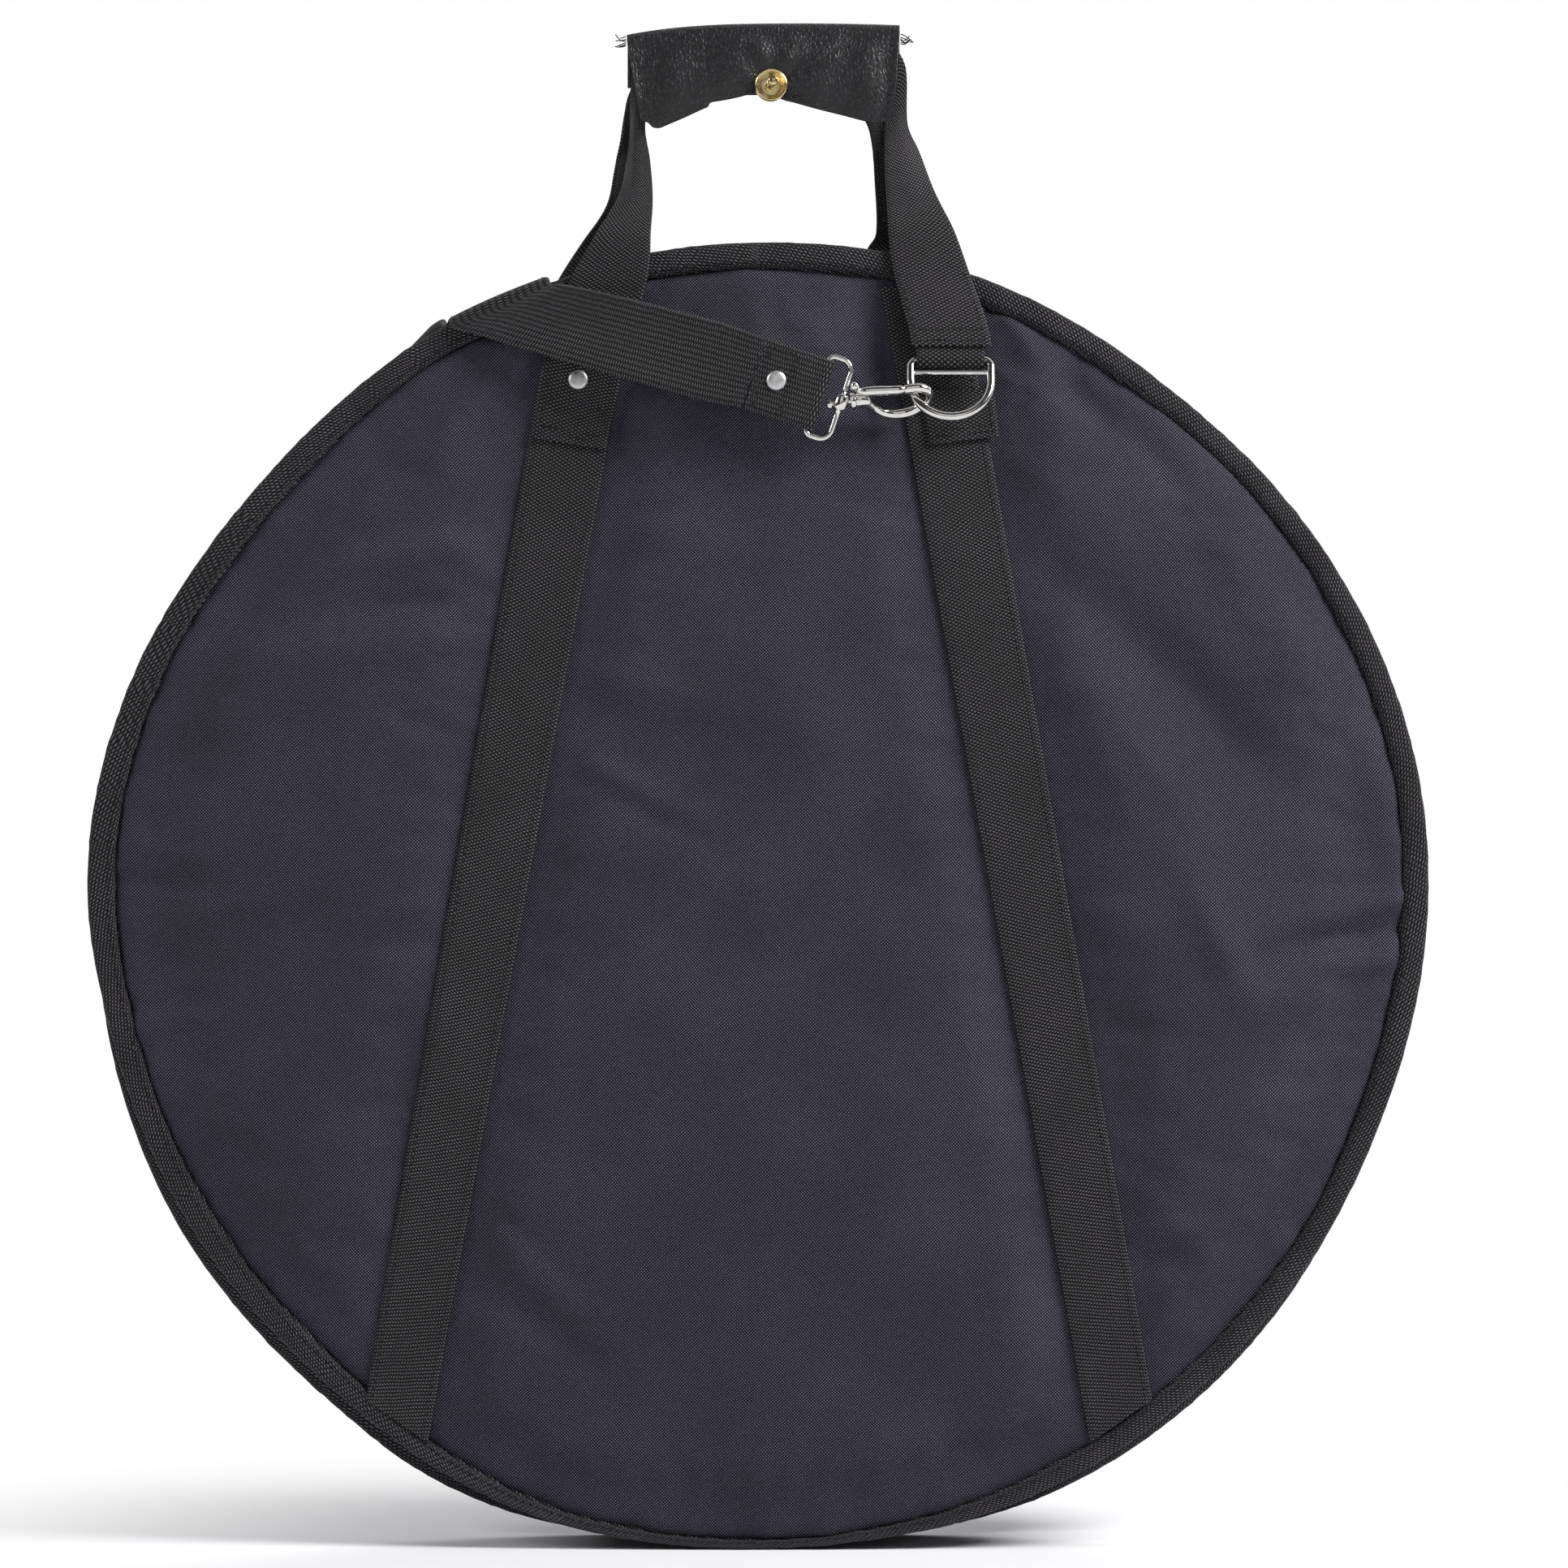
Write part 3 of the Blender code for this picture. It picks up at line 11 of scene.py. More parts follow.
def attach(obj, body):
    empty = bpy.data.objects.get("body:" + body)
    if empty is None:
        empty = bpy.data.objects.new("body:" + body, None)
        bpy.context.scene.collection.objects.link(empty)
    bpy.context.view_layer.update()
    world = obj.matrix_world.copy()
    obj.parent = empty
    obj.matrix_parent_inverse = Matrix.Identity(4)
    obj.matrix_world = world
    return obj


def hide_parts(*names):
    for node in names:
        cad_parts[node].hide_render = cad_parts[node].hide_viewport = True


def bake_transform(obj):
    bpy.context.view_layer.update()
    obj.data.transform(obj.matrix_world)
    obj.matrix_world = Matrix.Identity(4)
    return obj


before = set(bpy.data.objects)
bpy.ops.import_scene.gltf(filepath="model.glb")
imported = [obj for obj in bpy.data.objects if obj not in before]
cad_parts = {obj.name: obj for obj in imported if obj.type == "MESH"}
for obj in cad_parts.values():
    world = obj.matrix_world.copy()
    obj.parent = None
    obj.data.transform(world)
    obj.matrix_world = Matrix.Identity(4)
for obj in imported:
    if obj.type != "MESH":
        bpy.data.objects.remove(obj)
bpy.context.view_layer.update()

# Studio. The bag stands on a pale floor in a white room, under soft lamps on both sides.
# The camera looks straight at the strap side from three metres, at the height of the picture's middle.
camera_data = bpy.data.cameras.new("camera")
camera = bpy.data.objects.new("camera", camera_data)
bpy.context.scene.collection.objects.link(camera)
bpy.context.scene.camera = camera
camera.location = (0.0119, -3.03, 0.3627)
camera.rotation_euler = (math.pi / 2, 0, 0)
camera_data.sensor_width = 36
camera_data.lens = 36 * 3.0 / 0.7438
bpy.context.scene.view_settings.view_transform = "Standard"


def colour(code):
    """An sRGB hex colour as linear RGBA."""
    parts = [int(code[n:n + 2], 16) / 255 for n in (1, 3, 5)]
    return (*[p / 12.92 if p <= 0.04045 else ((p + 0.055) / 1.055) ** 2.4 for p in parts], 1)


def add(tree, kind, links=None, **settings):
    """One shader node with its settings, and its inputs as values or as other nodes' outputs."""
    made = tree.nodes.new(kind)
    for name, value in settings.items():
        setattr(made, name, value)
    for name, value in (links or {}).items():
        if isinstance(value, bpy.types.NodeSocket):
            tree.links.new(value, made.inputs[name])
        else:
            made.inputs[name].default_value = value
    return made


def soft_lamp(name, place, aim, size, power):
    """A square soft box that faces a point of the bag."""
    data = bpy.data.lights.new(name, "AREA")
    data.shape = "SQUARE"
    data.size = size
    data.energy = power
    lamp = bpy.data.objects.new(name, data)
    lamp.location = place
    lamp.rotation_euler = (Vector(aim) - Vector(place)).to_track_quat("-Z", "Y").to_euler()
    bpy.context.scene.collection.objects.link(lamp)


soft_lamp("key_box", (2.3, -1.15, 2.3), (0.05, 0, 0.35), 1.2, 132)
soft_lamp("fill_box", (-2.5, -0.85, 1.7), (-0.05, 0, 0.35), 1.0, 30)
soft_lamp("front_box", (0.2, -2.6, 1.4), (0, 0, 0.3), 1.6, 5)
soft_lamp("back_box", (0.6, 2.3, 1.5), (0, 0, 0.3), 1.4, 30)

world = bpy.data.worlds.new("white_room")
world.use_nodes = True
bpy.context.scene.world = world
tree = world.node_tree
tree.nodes.clear()
rays = add(tree, "ShaderNodeLightPath")
way = add(tree, "ShaderNodeSeparateXYZ", {0: add(tree, "ShaderNodeTexCoord").outputs["Generated"]})
# Bright metal sees the white wall behind the bag, and the darker room in front of it
wall = add(tree, "ShaderNodeMapRange", {
    "Value": way.outputs["Y"], "From Min": -0.35, "From Max": 0.25, "To Min": 0.05, "To Max": 1.0,
})
glossy = add(tree, "ShaderNodeMix", {
    "Factor": rays.outputs["Is Glossy Ray"], "A": 0.10, "B": wall.outputs["Result"],
})
seen = add(tree, "ShaderNodeMath", {
    0: rays.outputs["Is Camera Ray"], 1: rays.outputs["Is Transmission Ray"],
}, operation="MAXIMUM")
level = add(tree, "ShaderNodeMix", {"Factor": seen.outputs[0], "A": glossy.outputs["Result"], "B": 1.0})
backdrop = add(tree, "ShaderNodeBackground", {"Color": colour("#ffffff"), "Strength": level.outputs["Result"]})
add(tree, "ShaderNodeOutputWorld", {"Surface": backdrop.outputs[0]})

# Painted board: matt white paint, which fades into the white room away from the bag
floor_paint = bpy.data.materials.new("matt_white_board")
floor_paint.use_nodes = True
tree = floor_paint.node_tree
tree.nodes.clear()
paint = add(tree, "ShaderNodeBsdfPrincipled", {"Base Color": colour("#f7f7fa"), "Roughness": 0.9})
distance = add(tree, "ShaderNodeVectorMath", {
    0: add(tree, "ShaderNodeTexCoord").outputs["Object"],
}, operation="LENGTH")
fade = add(tree, "ShaderNodeMapRange", {
    "Value": distance.outputs["Value"], "From Min": 0.14, "From Max": 0.50,
}, interpolation_type="SMOOTHSTEP")
rays = add(tree, "ShaderNodeLightPath")
looked = add(tree, "ShaderNodeMath", {
    0: rays.outputs["Is Camera Ray"], 1: rays.outputs["Is Glossy Ray"],
}, operation="MAXIMUM")
share = add(tree, "ShaderNodeMath", {0: fade.outputs["Result"], 1: looked.outputs[0]}, operation="MULTIPLY")
white = add(tree, "ShaderNodeEmission", {"Color": colour("#ffffff"), "Strength": 1.0})
blend = add(tree, "ShaderNodeMixShader", {0: share.outputs[0], 1: paint.outputs[0], 2: white.outputs[0]})
add(tree, "ShaderNodeOutputMaterial", {"Surface": blend.outputs[0]})
floor_mesh = bpy.data.meshes.new("floor")
floor_mesh.from_pydata([(-4, -4, 0), (4, -4, 0), (4, 4, 0), (-4, 4, 0)], [], [(0, 1, 2, 3)])
floor_mesh.materials.append(floor_paint)
floor = bpy.data.objects.new("floor", floor_mesh)
floor.location = (0, 0, -0.0004)
bpy.context.scene.collection.objects.link(floor)

# Front and rear cover. Each is a round panel of coated polyester oxford over foam, cut flat and drawn in at the seam,
# so it crowns in the middle and puckers at the rim. The rim is out of round, as the filled bag leans on its foot.
MIDDLE = 0.306
# Radius in mm every 10 degrees, clockwise from the top, as the strap side is seen
FRONT_RIM = (
    313.6, 314.8, 315.0, 313.6, 312.4, 314.5, 316.5, 318.2, 318.8, 317.5, 315.0, 312.4,
    312.0, 311.0, 310.5, 310.0, 309.0, 306.6, 306.0, 307.5, 309.6, 308.6, 306.5, 307.5,
    310.0, 311.5, 314.0, 318.4, 318.6, 316.0, 312.0, 309.5, 310.0, 311.8, 310.6, 313.0,
)
REAR_RIM = (
    312.0, 312.0, 312.0, 312.0, 312.0, 312.5, 313.0, 314.0, 315.0, 316.0, 317.0, 318.0,
    318.5, 320.0, 320.5, 320.0, 317.0, 310.6, 306.0, 310.6, 318.0, 321.0, 319.0, 320.0,
    322.0, 322.0, 321.5, 320.0, 318.0, 316.0, 313.0, 311.0, 311.0, 312.0, 312.0, 312.0,
)
# Visible width of the binding in mm every 10 degrees. It rolls under where the bag stands.
BAND = (
    12.0, 12.0, 12.0, 11.0, 10.5, 10.5, 10.5, 11.0, 11.5, 12.0, 12.0, 11.5,
    11.0, 10.5, 10.0, 9.0, 7.0, 5.0, 4.0, 4.6, 6.5, 9.0, 10.5, 11.0,
    11.0, 11.5, 12.0, 13.0, 13.0, 12.5, 12.0, 12.0, 12.0, 12.0, 12.0, 12.0,
)
CROWN_SHARES = (0, 0.4, 0.62, 0.79, 0.91, 1)
CROWN_DEPTHS = (0.0472, 0.0468, 0.0448, 0.0410, 0.0362, 0.0312)
SINK = 0.0042
PAD_BACK = 0.0172
VOXEL = 0.0058
# Long straps: outer and inner edge from top to foot, as (x, z) of the right one
LONG_EDGES = (((0.0963, 0.598), (0.1863, 0.0709)), ((0.0575, 0.598), (0.1567, 0.0502)))
# Soft folds in the front cover: middle x, z, direction in degrees, half length, half width, rise, in mm
FOLDS = (
    (242, 450, -59, 95, 14, 4.5), (200, 408, -43, 80, 17, -5.0), (176, 372, -56, 75, 18, 3.2),
    (248, 281, 20, 34, 9, -2.8), (218, 288, -62, 34, 9, 2.6), (268, 268, 25, 34, 8, 2.6),
    (131, 564, -50, 16, 8, 3.0), (152, 545, -50, 24, 8, -2.5), (116, 588, -52, 26, 5, 2.6),
    (-160, 472, 10, 40, 8, 2.2), (-155, 449, 8, 34, 6, -2.2), (-170, 427, 5, 44, 9, 1.9),
    (-71, 466, 20, 18, 6, -1.9), (-40, 482, -20, 42, 12, 1.8), (10, 440, 80, 46, 20, 1.8),
    (-67, 365, -27, 38, 6, 1.9), (-58, 352, -27, 38, 6, -1.2), (-45, 405, -14, 60, 10, 1.5),
    (-108, 132, -41, 48, 8, 2.2), (-118, 119, -41, 48, 8, -1.8), (20, 545, 14, 44, 9, 2.2),
    (-212, 236, 35, 60, 10, 1.9), (-202, 214, 35, 60, 10, -1.9), (-250, 305, 18, 40, 8, 1.8),
    (182, 150, 10, 30, 6, 1.9), (176, 137, 10, 30, 6, -1.8), (214, 196, 40, 46, 10, 1.8),
    (292, 306, 12, 30, 5, 2.5), (290, 292, 8, 34, 4, -2.5), (288, 278, 4, 30, 5, 2.2),
    (-286, 332, -10, 24, 5, 1.9), (-287, 316, -8, 24, 4, -1.9), (-281, 250, 10, 26, 5, 1.8),
    (0, 180, 4, 130, 36, 2.2), (60, 300, -20, 110, 34, -1.9), (-30, 270, 60, 70, 24, 1.5),
)


def ring_value(table, turn):
    """A value at a clock angle in degrees, on a smooth curve through a table's steps of 10."""
    place = (turn / 10) % len(table)
    n = int(place)
    t = place - n
    a, b, c, d = (table[(n + k) % len(table)] for k in (-1, 0, 1, 2))
    return b + 0.5 * t * (c - a + t * (2 * a - 5 * b + 4 * c - d + t * (3 * (b - c) + d - a)))


def rim_reach(side, x, up):
    """The cover's own radius, in metres, in the direction of a point."""
    turn = math.degrees(math.atan2(x, up))
    table = FRONT_RIM if side < 0 else REAR_RIM
    return (ring_value(table, turn) - ring_value(BAND, turn) + (2.4 if side < 0 else 2.8)) / 1000


def crown(share, sink=0):
    """Depth of the cover's face at a share of its radius."""
    return float(np.interp(share, CROWN_SHARES, CROWN_DEPTHS)) - sink * (1 - share**6)


def strap_press(x, z):
    """How far the sewn straps press the cover in, and hold it, at a place: 1 under a strap, 0 away from it."""
    top, foot = LONG_EDGES[0][0][1], 0.05
    down = min(1, max(0, (top - z) / (top - foot)))
    outer = LONG_EDGES[0][0][0] + (LONG_EDGES[0][1][0] - LONG_EDGES[0][0][0]) * down
    inner = LONG_EDGES[1][0][0] + (LONG_EDGES[1][1][0] - LONG_EDGES[1][0][0]) * down
    beyond = max(abs(x) - outer, inner - abs(x), z - 0.62, 0)
    return math.exp(-(beyond / 0.011) ** 2)


def object_from(name, mesh, material):
    """Puts a mesh in the scene with its material."""
    mesh.materials.clear()
    mesh.materials.append(material)
    made = bpy.data.objects.new(name, mesh)
    bpy.context.scene.collection.objects.link(made)
    return made


def mesh_from(name, points, faces, places=None):
    """A smooth mesh from points and faces, with a place on the cloth in mm for each point."""
    mesh = bpy.data.meshes.new(name)
    mesh.from_pydata([tuple(p) for p in points], [], faces)
    mesh.update()
    mesh.shade_smooth()
    if places is not None:
        lay_out(mesh, places)
    return mesh


def lay_out(mesh, places):
    """Writes the places on the cloth, in mm, as the mesh's UVs."""
    layer = mesh.uv_layers.new(name="cloth")
    corners = np.zeros(len(mesh.loops), dtype=np.int32)
    mesh.loops.foreach_get("vertex_index", corners)
    layer.data.foreach_set("uv", np.asarray(places, dtype=np.float32)[corners].ravel())


def settled(source, name):
    """The mesh that an object's modifiers give, free of them."""
    graph = bpy.context.evaluated_depsgraph_get()
    graph.update()
    mesh = bpy.data.meshes.new_from_object(source.evaluated_get(graph))
    mesh.name = name
    return mesh


def inflate(pad, side):
    """Blows the pad up as cloth, with its seam and back held."""
    held = pad.vertex_groups.new(name="seam")
    for vertex in pad.data.vertices:
        x, up = vertex.co.x, vertex.co.z - MIDDLE
        share = math.hypot(x, up) / rim_reach(side, x, up)
        grip = max(0, min(1, (share - 0.90) / 0.06))
        if side * vertex.co.y < crown(min(1, share), SINK) - 0.004:
            grip = 1
        grip = max(grip, 0.6 * strap_press(x, vertex.co.z))
        if grip > 0:
            held.add([vertex.index], grip, "REPLACE")
    cloth = pad.modifiers.new("cloth", "CLOTH")
    cloth.settings.quality = 4
    cloth.settings.mass = 0.25
    cloth.settings.tension_stiffness = 12
    cloth.settings.compression_stiffness = 12
    cloth.settings.shear_stiffness = 6
    cloth.settings.bending_stiffness = 0.6
    cloth.settings.use_pressure = True
    cloth.settings.uniform_pressure_force = 4
    cloth.settings.shrink_min = -0.012
    cloth.settings.vertex_group_mass = "seam"
    cloth.settings.effector_weights.gravity = 0
    cloth.collision_settings.use_collision = False
    cloth.point_cache.frame_start = 1
    cloth.point_cache.frame_end = 20
    for step in range(1, 21):
        bpy.context.scene.frame_set(step)
    before = np.array([v.co[:] for v in pad.data.vertices])
    blown = settled(pad, "blown")
    after = np.array([v.co[:] for v in blown.vertices])
    bpy.context.scene.frame_set(1)
    bpy.data.meshes.remove(blown)
    pad.modifiers.clear()
    moved = after - before
    far = np.linalg.norm(moved, axis=1)
    limit = 0.0046
    moved *= (np.minimum(far, limit) / np.maximum(far, 1e-9))[:, None]
    pad.data.vertices.foreach_set("co", (before + moved).ravel())
    pad.data.update()


def fold_rise(x, z):
    """The rise of the soft folds at a place, in metres."""
    rise = 0
    for mx, mz, turn, long, wide, high in FOLDS:
        dx, dz = x * 1000 - mx, z * 1000 - mz
        c, s = math.cos(math.radians(turn)), math.sin(math.radians(turn))
        along, across = dx * c + dz * s, dz * c - dx * s
        if abs(along) < 3 * long and abs(across) < 3 * wide:
            rise += high * math.exp(-((along / long) ** 2) - (across / wide) ** 2)
    return rise / 1000


def padded_cover(name, side, material):
    """A crowned pad, remeshed, blown up as cloth, then puckered at the rim and creased."""
    steps = 180
    shares = [0, 0.12, 0.25, 0.4, 0.5, 0.62, 0.7, 0.79, 0.85, 0.91, 0.96, 0.985, 1]
    sink = SINK
    points, faces = [], []
    for front in (True, False):
        for share in shares:
            for n in range(steps):
                turn = 2 * math.pi * n / steps
                reach = rim_reach(side, math.sin(turn), math.cos(turn)) * share
                depth = crown(share, sink) if front else PAD_BACK
                points.append((reach * math.sin(turn), side * depth, MIDDLE + reach * math.cos(turn)))
    rings = len(shares)
    for base in (0, rings * steps):
        for k in range(rings - 1):
            for n in range(steps):
                a, b = base + k * steps + n, base + k * steps + (n + 1) % steps
                quad = (a, b, b + steps, a + steps)
                faces.append(quad if (base > 0) == (side < 0) else quad[::-1])
    outer = (rings - 1) * steps
    for n in range(steps):
        a, b = outer + n, outer + (n + 1) % steps
        far = rings * steps
        quad = (a, b, b + far, a + far)
        faces.append(quad if side > 0 else quad[::-1])
    rough = object_from(name + "_rough", mesh_from(name, points, faces), material)
    weld = rough.modifiers.new("weld", "WELD")
    weld.merge_threshold = 0.0002
    remesh = rough.modifiers.new("remesh", "REMESH")
    remesh.mode = "VOXEL"
    remesh.voxel_size = VOXEL
    even = rough.modifiers.new("even", "SMOOTH")
    even.factor = 0.5
    even.iterations = 3
    pad = object_from(name, settled(rough, name), material)
    bpy.data.objects.remove(rough)
    inflate(pad, side)
    finer = pad.modifiers.new("finer", "SUBSURF")
    finer.levels = 1
    finer.render_levels = 1
    mesh = settled(pad, name)
    pad.modifiers.clear()
    pad.data = mesh
    count = len(mesh.vertices)
    spots = np.zeros(count * 3)
    mesh.vertices.foreach_get("co", spots)
    spots = spots.reshape(-1, 3)
    seed = 3.1 if side < 0 else 8.7
    for spot in spots:
        x, z = spot[0], spot[2]
        up = z - MIDDLE
        reach = math.hypot(x, up)
        share = reach / rim_reach(side, x, up)
        face = side * spot[1]
        if face < crown(min(1, share), SINK) - 0.006:
            continue
        turn = math.atan2(x, up)
        press = strap_press(x, z)
        wave = noise.noise(Vector((x * 9, z * 9, seed))) + 0.5 * noise.noise(Vector((x * 21, z * 21, seed)))
        rise = 0.0030 * wave * (1 - press)
        near_rim = math.exp(-((1 - share) / 0.05) ** 2) if share < 1 else 1
        pucker = noise.noise(Vector((math.sin(turn) * 22, math.cos(turn) * 22, seed)))
        rise += 0.0015 * pucker * near_rim
        rise += (fold_rise(x, z) if side < 0 else fold_rise(-x, z)) * (1 - press)
        rise -= 0.0013 * press * min(1, max(0, (1 - share) / 0.04))
        rise -= 0.0022 * min(1, max(0, (share - 0.985) / 0.015))
        near_hook = math.exp(-((side * -x - 0.075) / 0.055) ** 4 - ((z - 0.540) / 0.045) ** 4)
        spot[1] = side * min(face + rise, crown(min(1, share)) + 0.0040 - 0.0034 * near_hook)
    mesh.vertices.foreach_set("co", spots.ravel())
    mesh.update()
    mesh.shade_smooth()
    lay_out(mesh, spots[:, (0, 2)] * 1000)
    return pad


def weave(tree, across, along, turn=0.0, waver=0.25):
    """Threads over and under each other: 1 on top of a thread, -1 beside it. Sizes are one thread's, in mm."""
    place = add(tree, "ShaderNodeUVMap", uv_map="cloth").outputs[0]
    drift = add(tree, "ShaderNodeTexNoise", {"Vector": place, "Scale": 0.12, "Detail": 2.0})
    shifted = add(tree, "ShaderNodeVectorMath", {
        0: drift.outputs["Color"], 1: (waver * 4, waver * 4, 0), 2: place,
    }, operation="MULTIPLY_ADD")
    turned = add(tree, "ShaderNodeMapping", {
        "Vector": shifted.outputs[0], "Rotation": (0, 0, turn),
    })
    scaled = add(tree, "ShaderNodeVectorMath", {
        0: turned.outputs[0], 1: (math.pi / across, math.pi / along, 0),
    }, operation="MULTIPLY")
    parts = add(tree, "ShaderNodeSeparateXYZ", {0: scaled.outputs[0]})
    over = add(tree, "ShaderNodeMath", {0: parts.outputs["X"]}, operation="SINE")
    under = add(tree, "ShaderNodeMath", {0: parts.outputs["Y"]}, operation="SINE")
    return add(tree, "ShaderNodeMath", {0: over.outputs[0], 1: under.outputs[0]}, operation="MULTIPLY").outputs[0]


def woven(name, dark, light, threads, relief, roughness, mottle, sheen):
    """A woven finish, with a painted highlight on the thread tops, painted shade between them and broad patches of
    painted sheen. Threads makes the pattern, relief is its height in mm, mottle the size of the painted sheen patches.
    """
    made = bpy.data.materials.new(name)
    made.use_nodes = True
    tree = made.node_tree
    tree.nodes.clear()
    height = threads(tree)
    place = add(tree, "ShaderNodeUVMap", uv_map="cloth").outputs[0]
    # Painted sheen: broad pale patches in the colour stand in for the cloth's soft, uneven sheen
    sheen_patches = add(tree, "ShaderNodeTexNoise", {"Vector": place, "Scale": 1 / mottle, "Detail": 3.0})
    fibre = add(tree, "ShaderNodeTexNoise", {"Vector": place, "Scale": 1.6, "Detail": 2.0})
    # Painted highlight and shade: the thread tops take the pale colour, and the hollows between threads take the dark
    # one
    top = add(tree, "ShaderNodeMapRange", {"Value": height, "From Min": 0.08, "From Max": 0.9})
    painted_sheen = add(tree, "ShaderNodeMapRange", {
        "Value": sheen_patches.outputs["Fac"], "From Min": 0.3, "From Max": 0.7, "To Min": 0.72, "To Max": 1.15,
    })
    lit = add(tree, "ShaderNodeMath", {0: top.outputs[0], 1: painted_sheen.outputs[0]}, operation="MULTIPLY")
    spotty = add(tree, "ShaderNodeMapRange", {
        "Value": fibre.outputs["Fac"], "From Min": 0.3, "From Max": 0.7, "To Min": 0.75, "To Max": 1.2,
    })
    amount = add(tree, "ShaderNodeMath", {0: lit.outputs[0], 1: spotty.outputs[0]}, operation="MULTIPLY")
    mix = add(tree, "ShaderNodeMix", {
        "Factor": amount.outputs[0], 6: colour(dark), 7: colour(light),
    }, data_type="RGBA")
    rough = add(tree, "ShaderNodeMapRange", {
        "Value": amount.outputs[0], "To Min": roughness + 0.1, "To Max": roughness - 0.1,
    })
    bump = add(tree, "ShaderNodeBump", {
        "Height": height, "Strength": 0.8, "Distance": relief / 1000,
    })
    body = add(tree, "ShaderNodeBsdfPrincipled", {
        "Base Color": mix.outputs[2], "Roughness": rough.outputs[0], "Normal": bump.outputs[0],
        "Sheen Weight": sheen, "Sheen Roughness": 0.4, "IOR": 1.32,
    })
    add(tree, "ShaderNodeOutputMaterial", {"Surface": body.outputs[0]})
    return made


# Polyester oxford, plain woven from flat coated yarn: dull navy, with a painted highlight on the thread tops, painted
# shade between them and patches of painted sheen. The threads are drawn 0.75 mm apart, half as coarse again as real
# ones, so that they show from three metres
oxford = woven(
    "woven_polyester_oxford", "#050409", "#6a687f",
    lambda tree: weave(tree, 0.75, 0.75, math.radians(3)), 0.20, 0.50, 70, 0.05,
)

front_cover = padded_cover("front_cover", -1, oxford)
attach(front_cover, "front_half")
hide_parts("front_panel", "front_foam")
rear_cover = padded_cover("rear_cover", 1, oxford)
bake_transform(rear_cover)
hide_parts("rear_panel", "rear_foam", "rear_panel_foot", "rear_foam_foot")


def surface_of(cover):
    """A cover's faces, to lay straps on."""
    mesh = cover.data
    return BVHTree.FromPolygons([v.co[:] for v in mesh.vertices], [p.vertices[:] for p in mesh.polygons])


FACES = {-1: surface_of(front_cover), 1: surface_of(rear_cover)}


def face_at(side, x, z):
    """Depth of the cover's face at a place, or of the binding beyond it."""
    hit = FACES[side].ray_cast(Vector((x, side * 0.2, z)), Vector((0, -side, 0)))
    depth = side * hit[0].y if hit[0] is not None else 0
    return max(depth, 0.0312)

# Linings. A flat disc of thin nylon taffeta closes each pad on the inside, and is caught in the same seam.


def disc(name, side, reach, depth, thickness, material):
    """A thin round lining across the bag, gently slack."""
    steps, rings = 120, 24
    points, faces, places = [], [], []
    for layer in (0, 1):
        for k in range(rings + 1):
            for n in range(steps):
                turn = 2 * math.pi * n / steps
                far = reach * k / rings
                x, up = far * math.sin(turn), far * math.cos(turn)
                if up < 0 and far > 0:
                    far *= min(1, 0.9714 / max(1e-6, -up / far))
                    x, up = far * math.sin(turn), far * math.cos(turn)
                slack = 0.0006 * noise.noise(Vector((x * 12, up * 12, side))) * (1 - (k / rings) ** 4)
                points.append((x, side * (depth + thickness * layer + slack), MIDDLE + up))
                places.append((x * 1000, up * 1000))
    layer_size = (rings + 1) * steps
    for layer in (0, 1):
        for k in range(rings):
            for n in range(steps):
                a, b = layer * layer_size + k * steps + n, layer * layer_size + k * steps + (n + 1) % steps
                quad = (a, b, b + steps, a + steps)
                faces.append(quad if (layer == 1) == (side > 0) else quad[::-1])
    for n in range(steps):
        a, b = rings * steps + n, rings * steps + (n + 1) % steps
        quad = (a, b, b + layer_size, a + layer_size)
        faces.append(quad if side > 0 else quad[::-1])
    made = object_from(name, mesh_from(name, points, faces, places), material)
    weld = made.modifiers.new("weld", "WELD")
    weld.merge_threshold = 0.00001
    mesh = settled(made, name)
    made.modifiers.clear()
    made.data = mesh
    return made


# Nylon taffeta: close plain weave, smooth, with a low shine
taffeta = woven(
    "nylon_taffeta", "#222228", "#3c3c44",
    lambda tree: weave(tree, 0.6, 0.6), 0.05, 0.5, 50, 0.1,
)
front_lining = disc("front_lining_cloth", -1, 0.3005, 0.0155, 0.0010, taffeta)
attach(front_lining, "front_half")
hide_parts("front_lining")
rear_lining = disc("rear_lining_cloth", 1, 0.3005, 0.0155, 0.0010, taffeta)
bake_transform(rear_lining)
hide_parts("rear_lining", "rear_lining_foot")

# Gusset and zip. A 60 mm band of the same oxford over thin foam joins the two seams. Above the fold it is cut along
# the middle for a coil zip: two woven tapes, each with a nylon coil sewn to its edge.
GUSSET = 0.305
FOLD_TURN = math.degrees(math.acos((0.125 - MIDDLE) / GUSSET))


def flat_foot(turn):
    """How far the floor flattens the rim in a direction."""
    down = -math.cos(turn)
    return min(1, 0.9714 / down) if down > 0 else 1


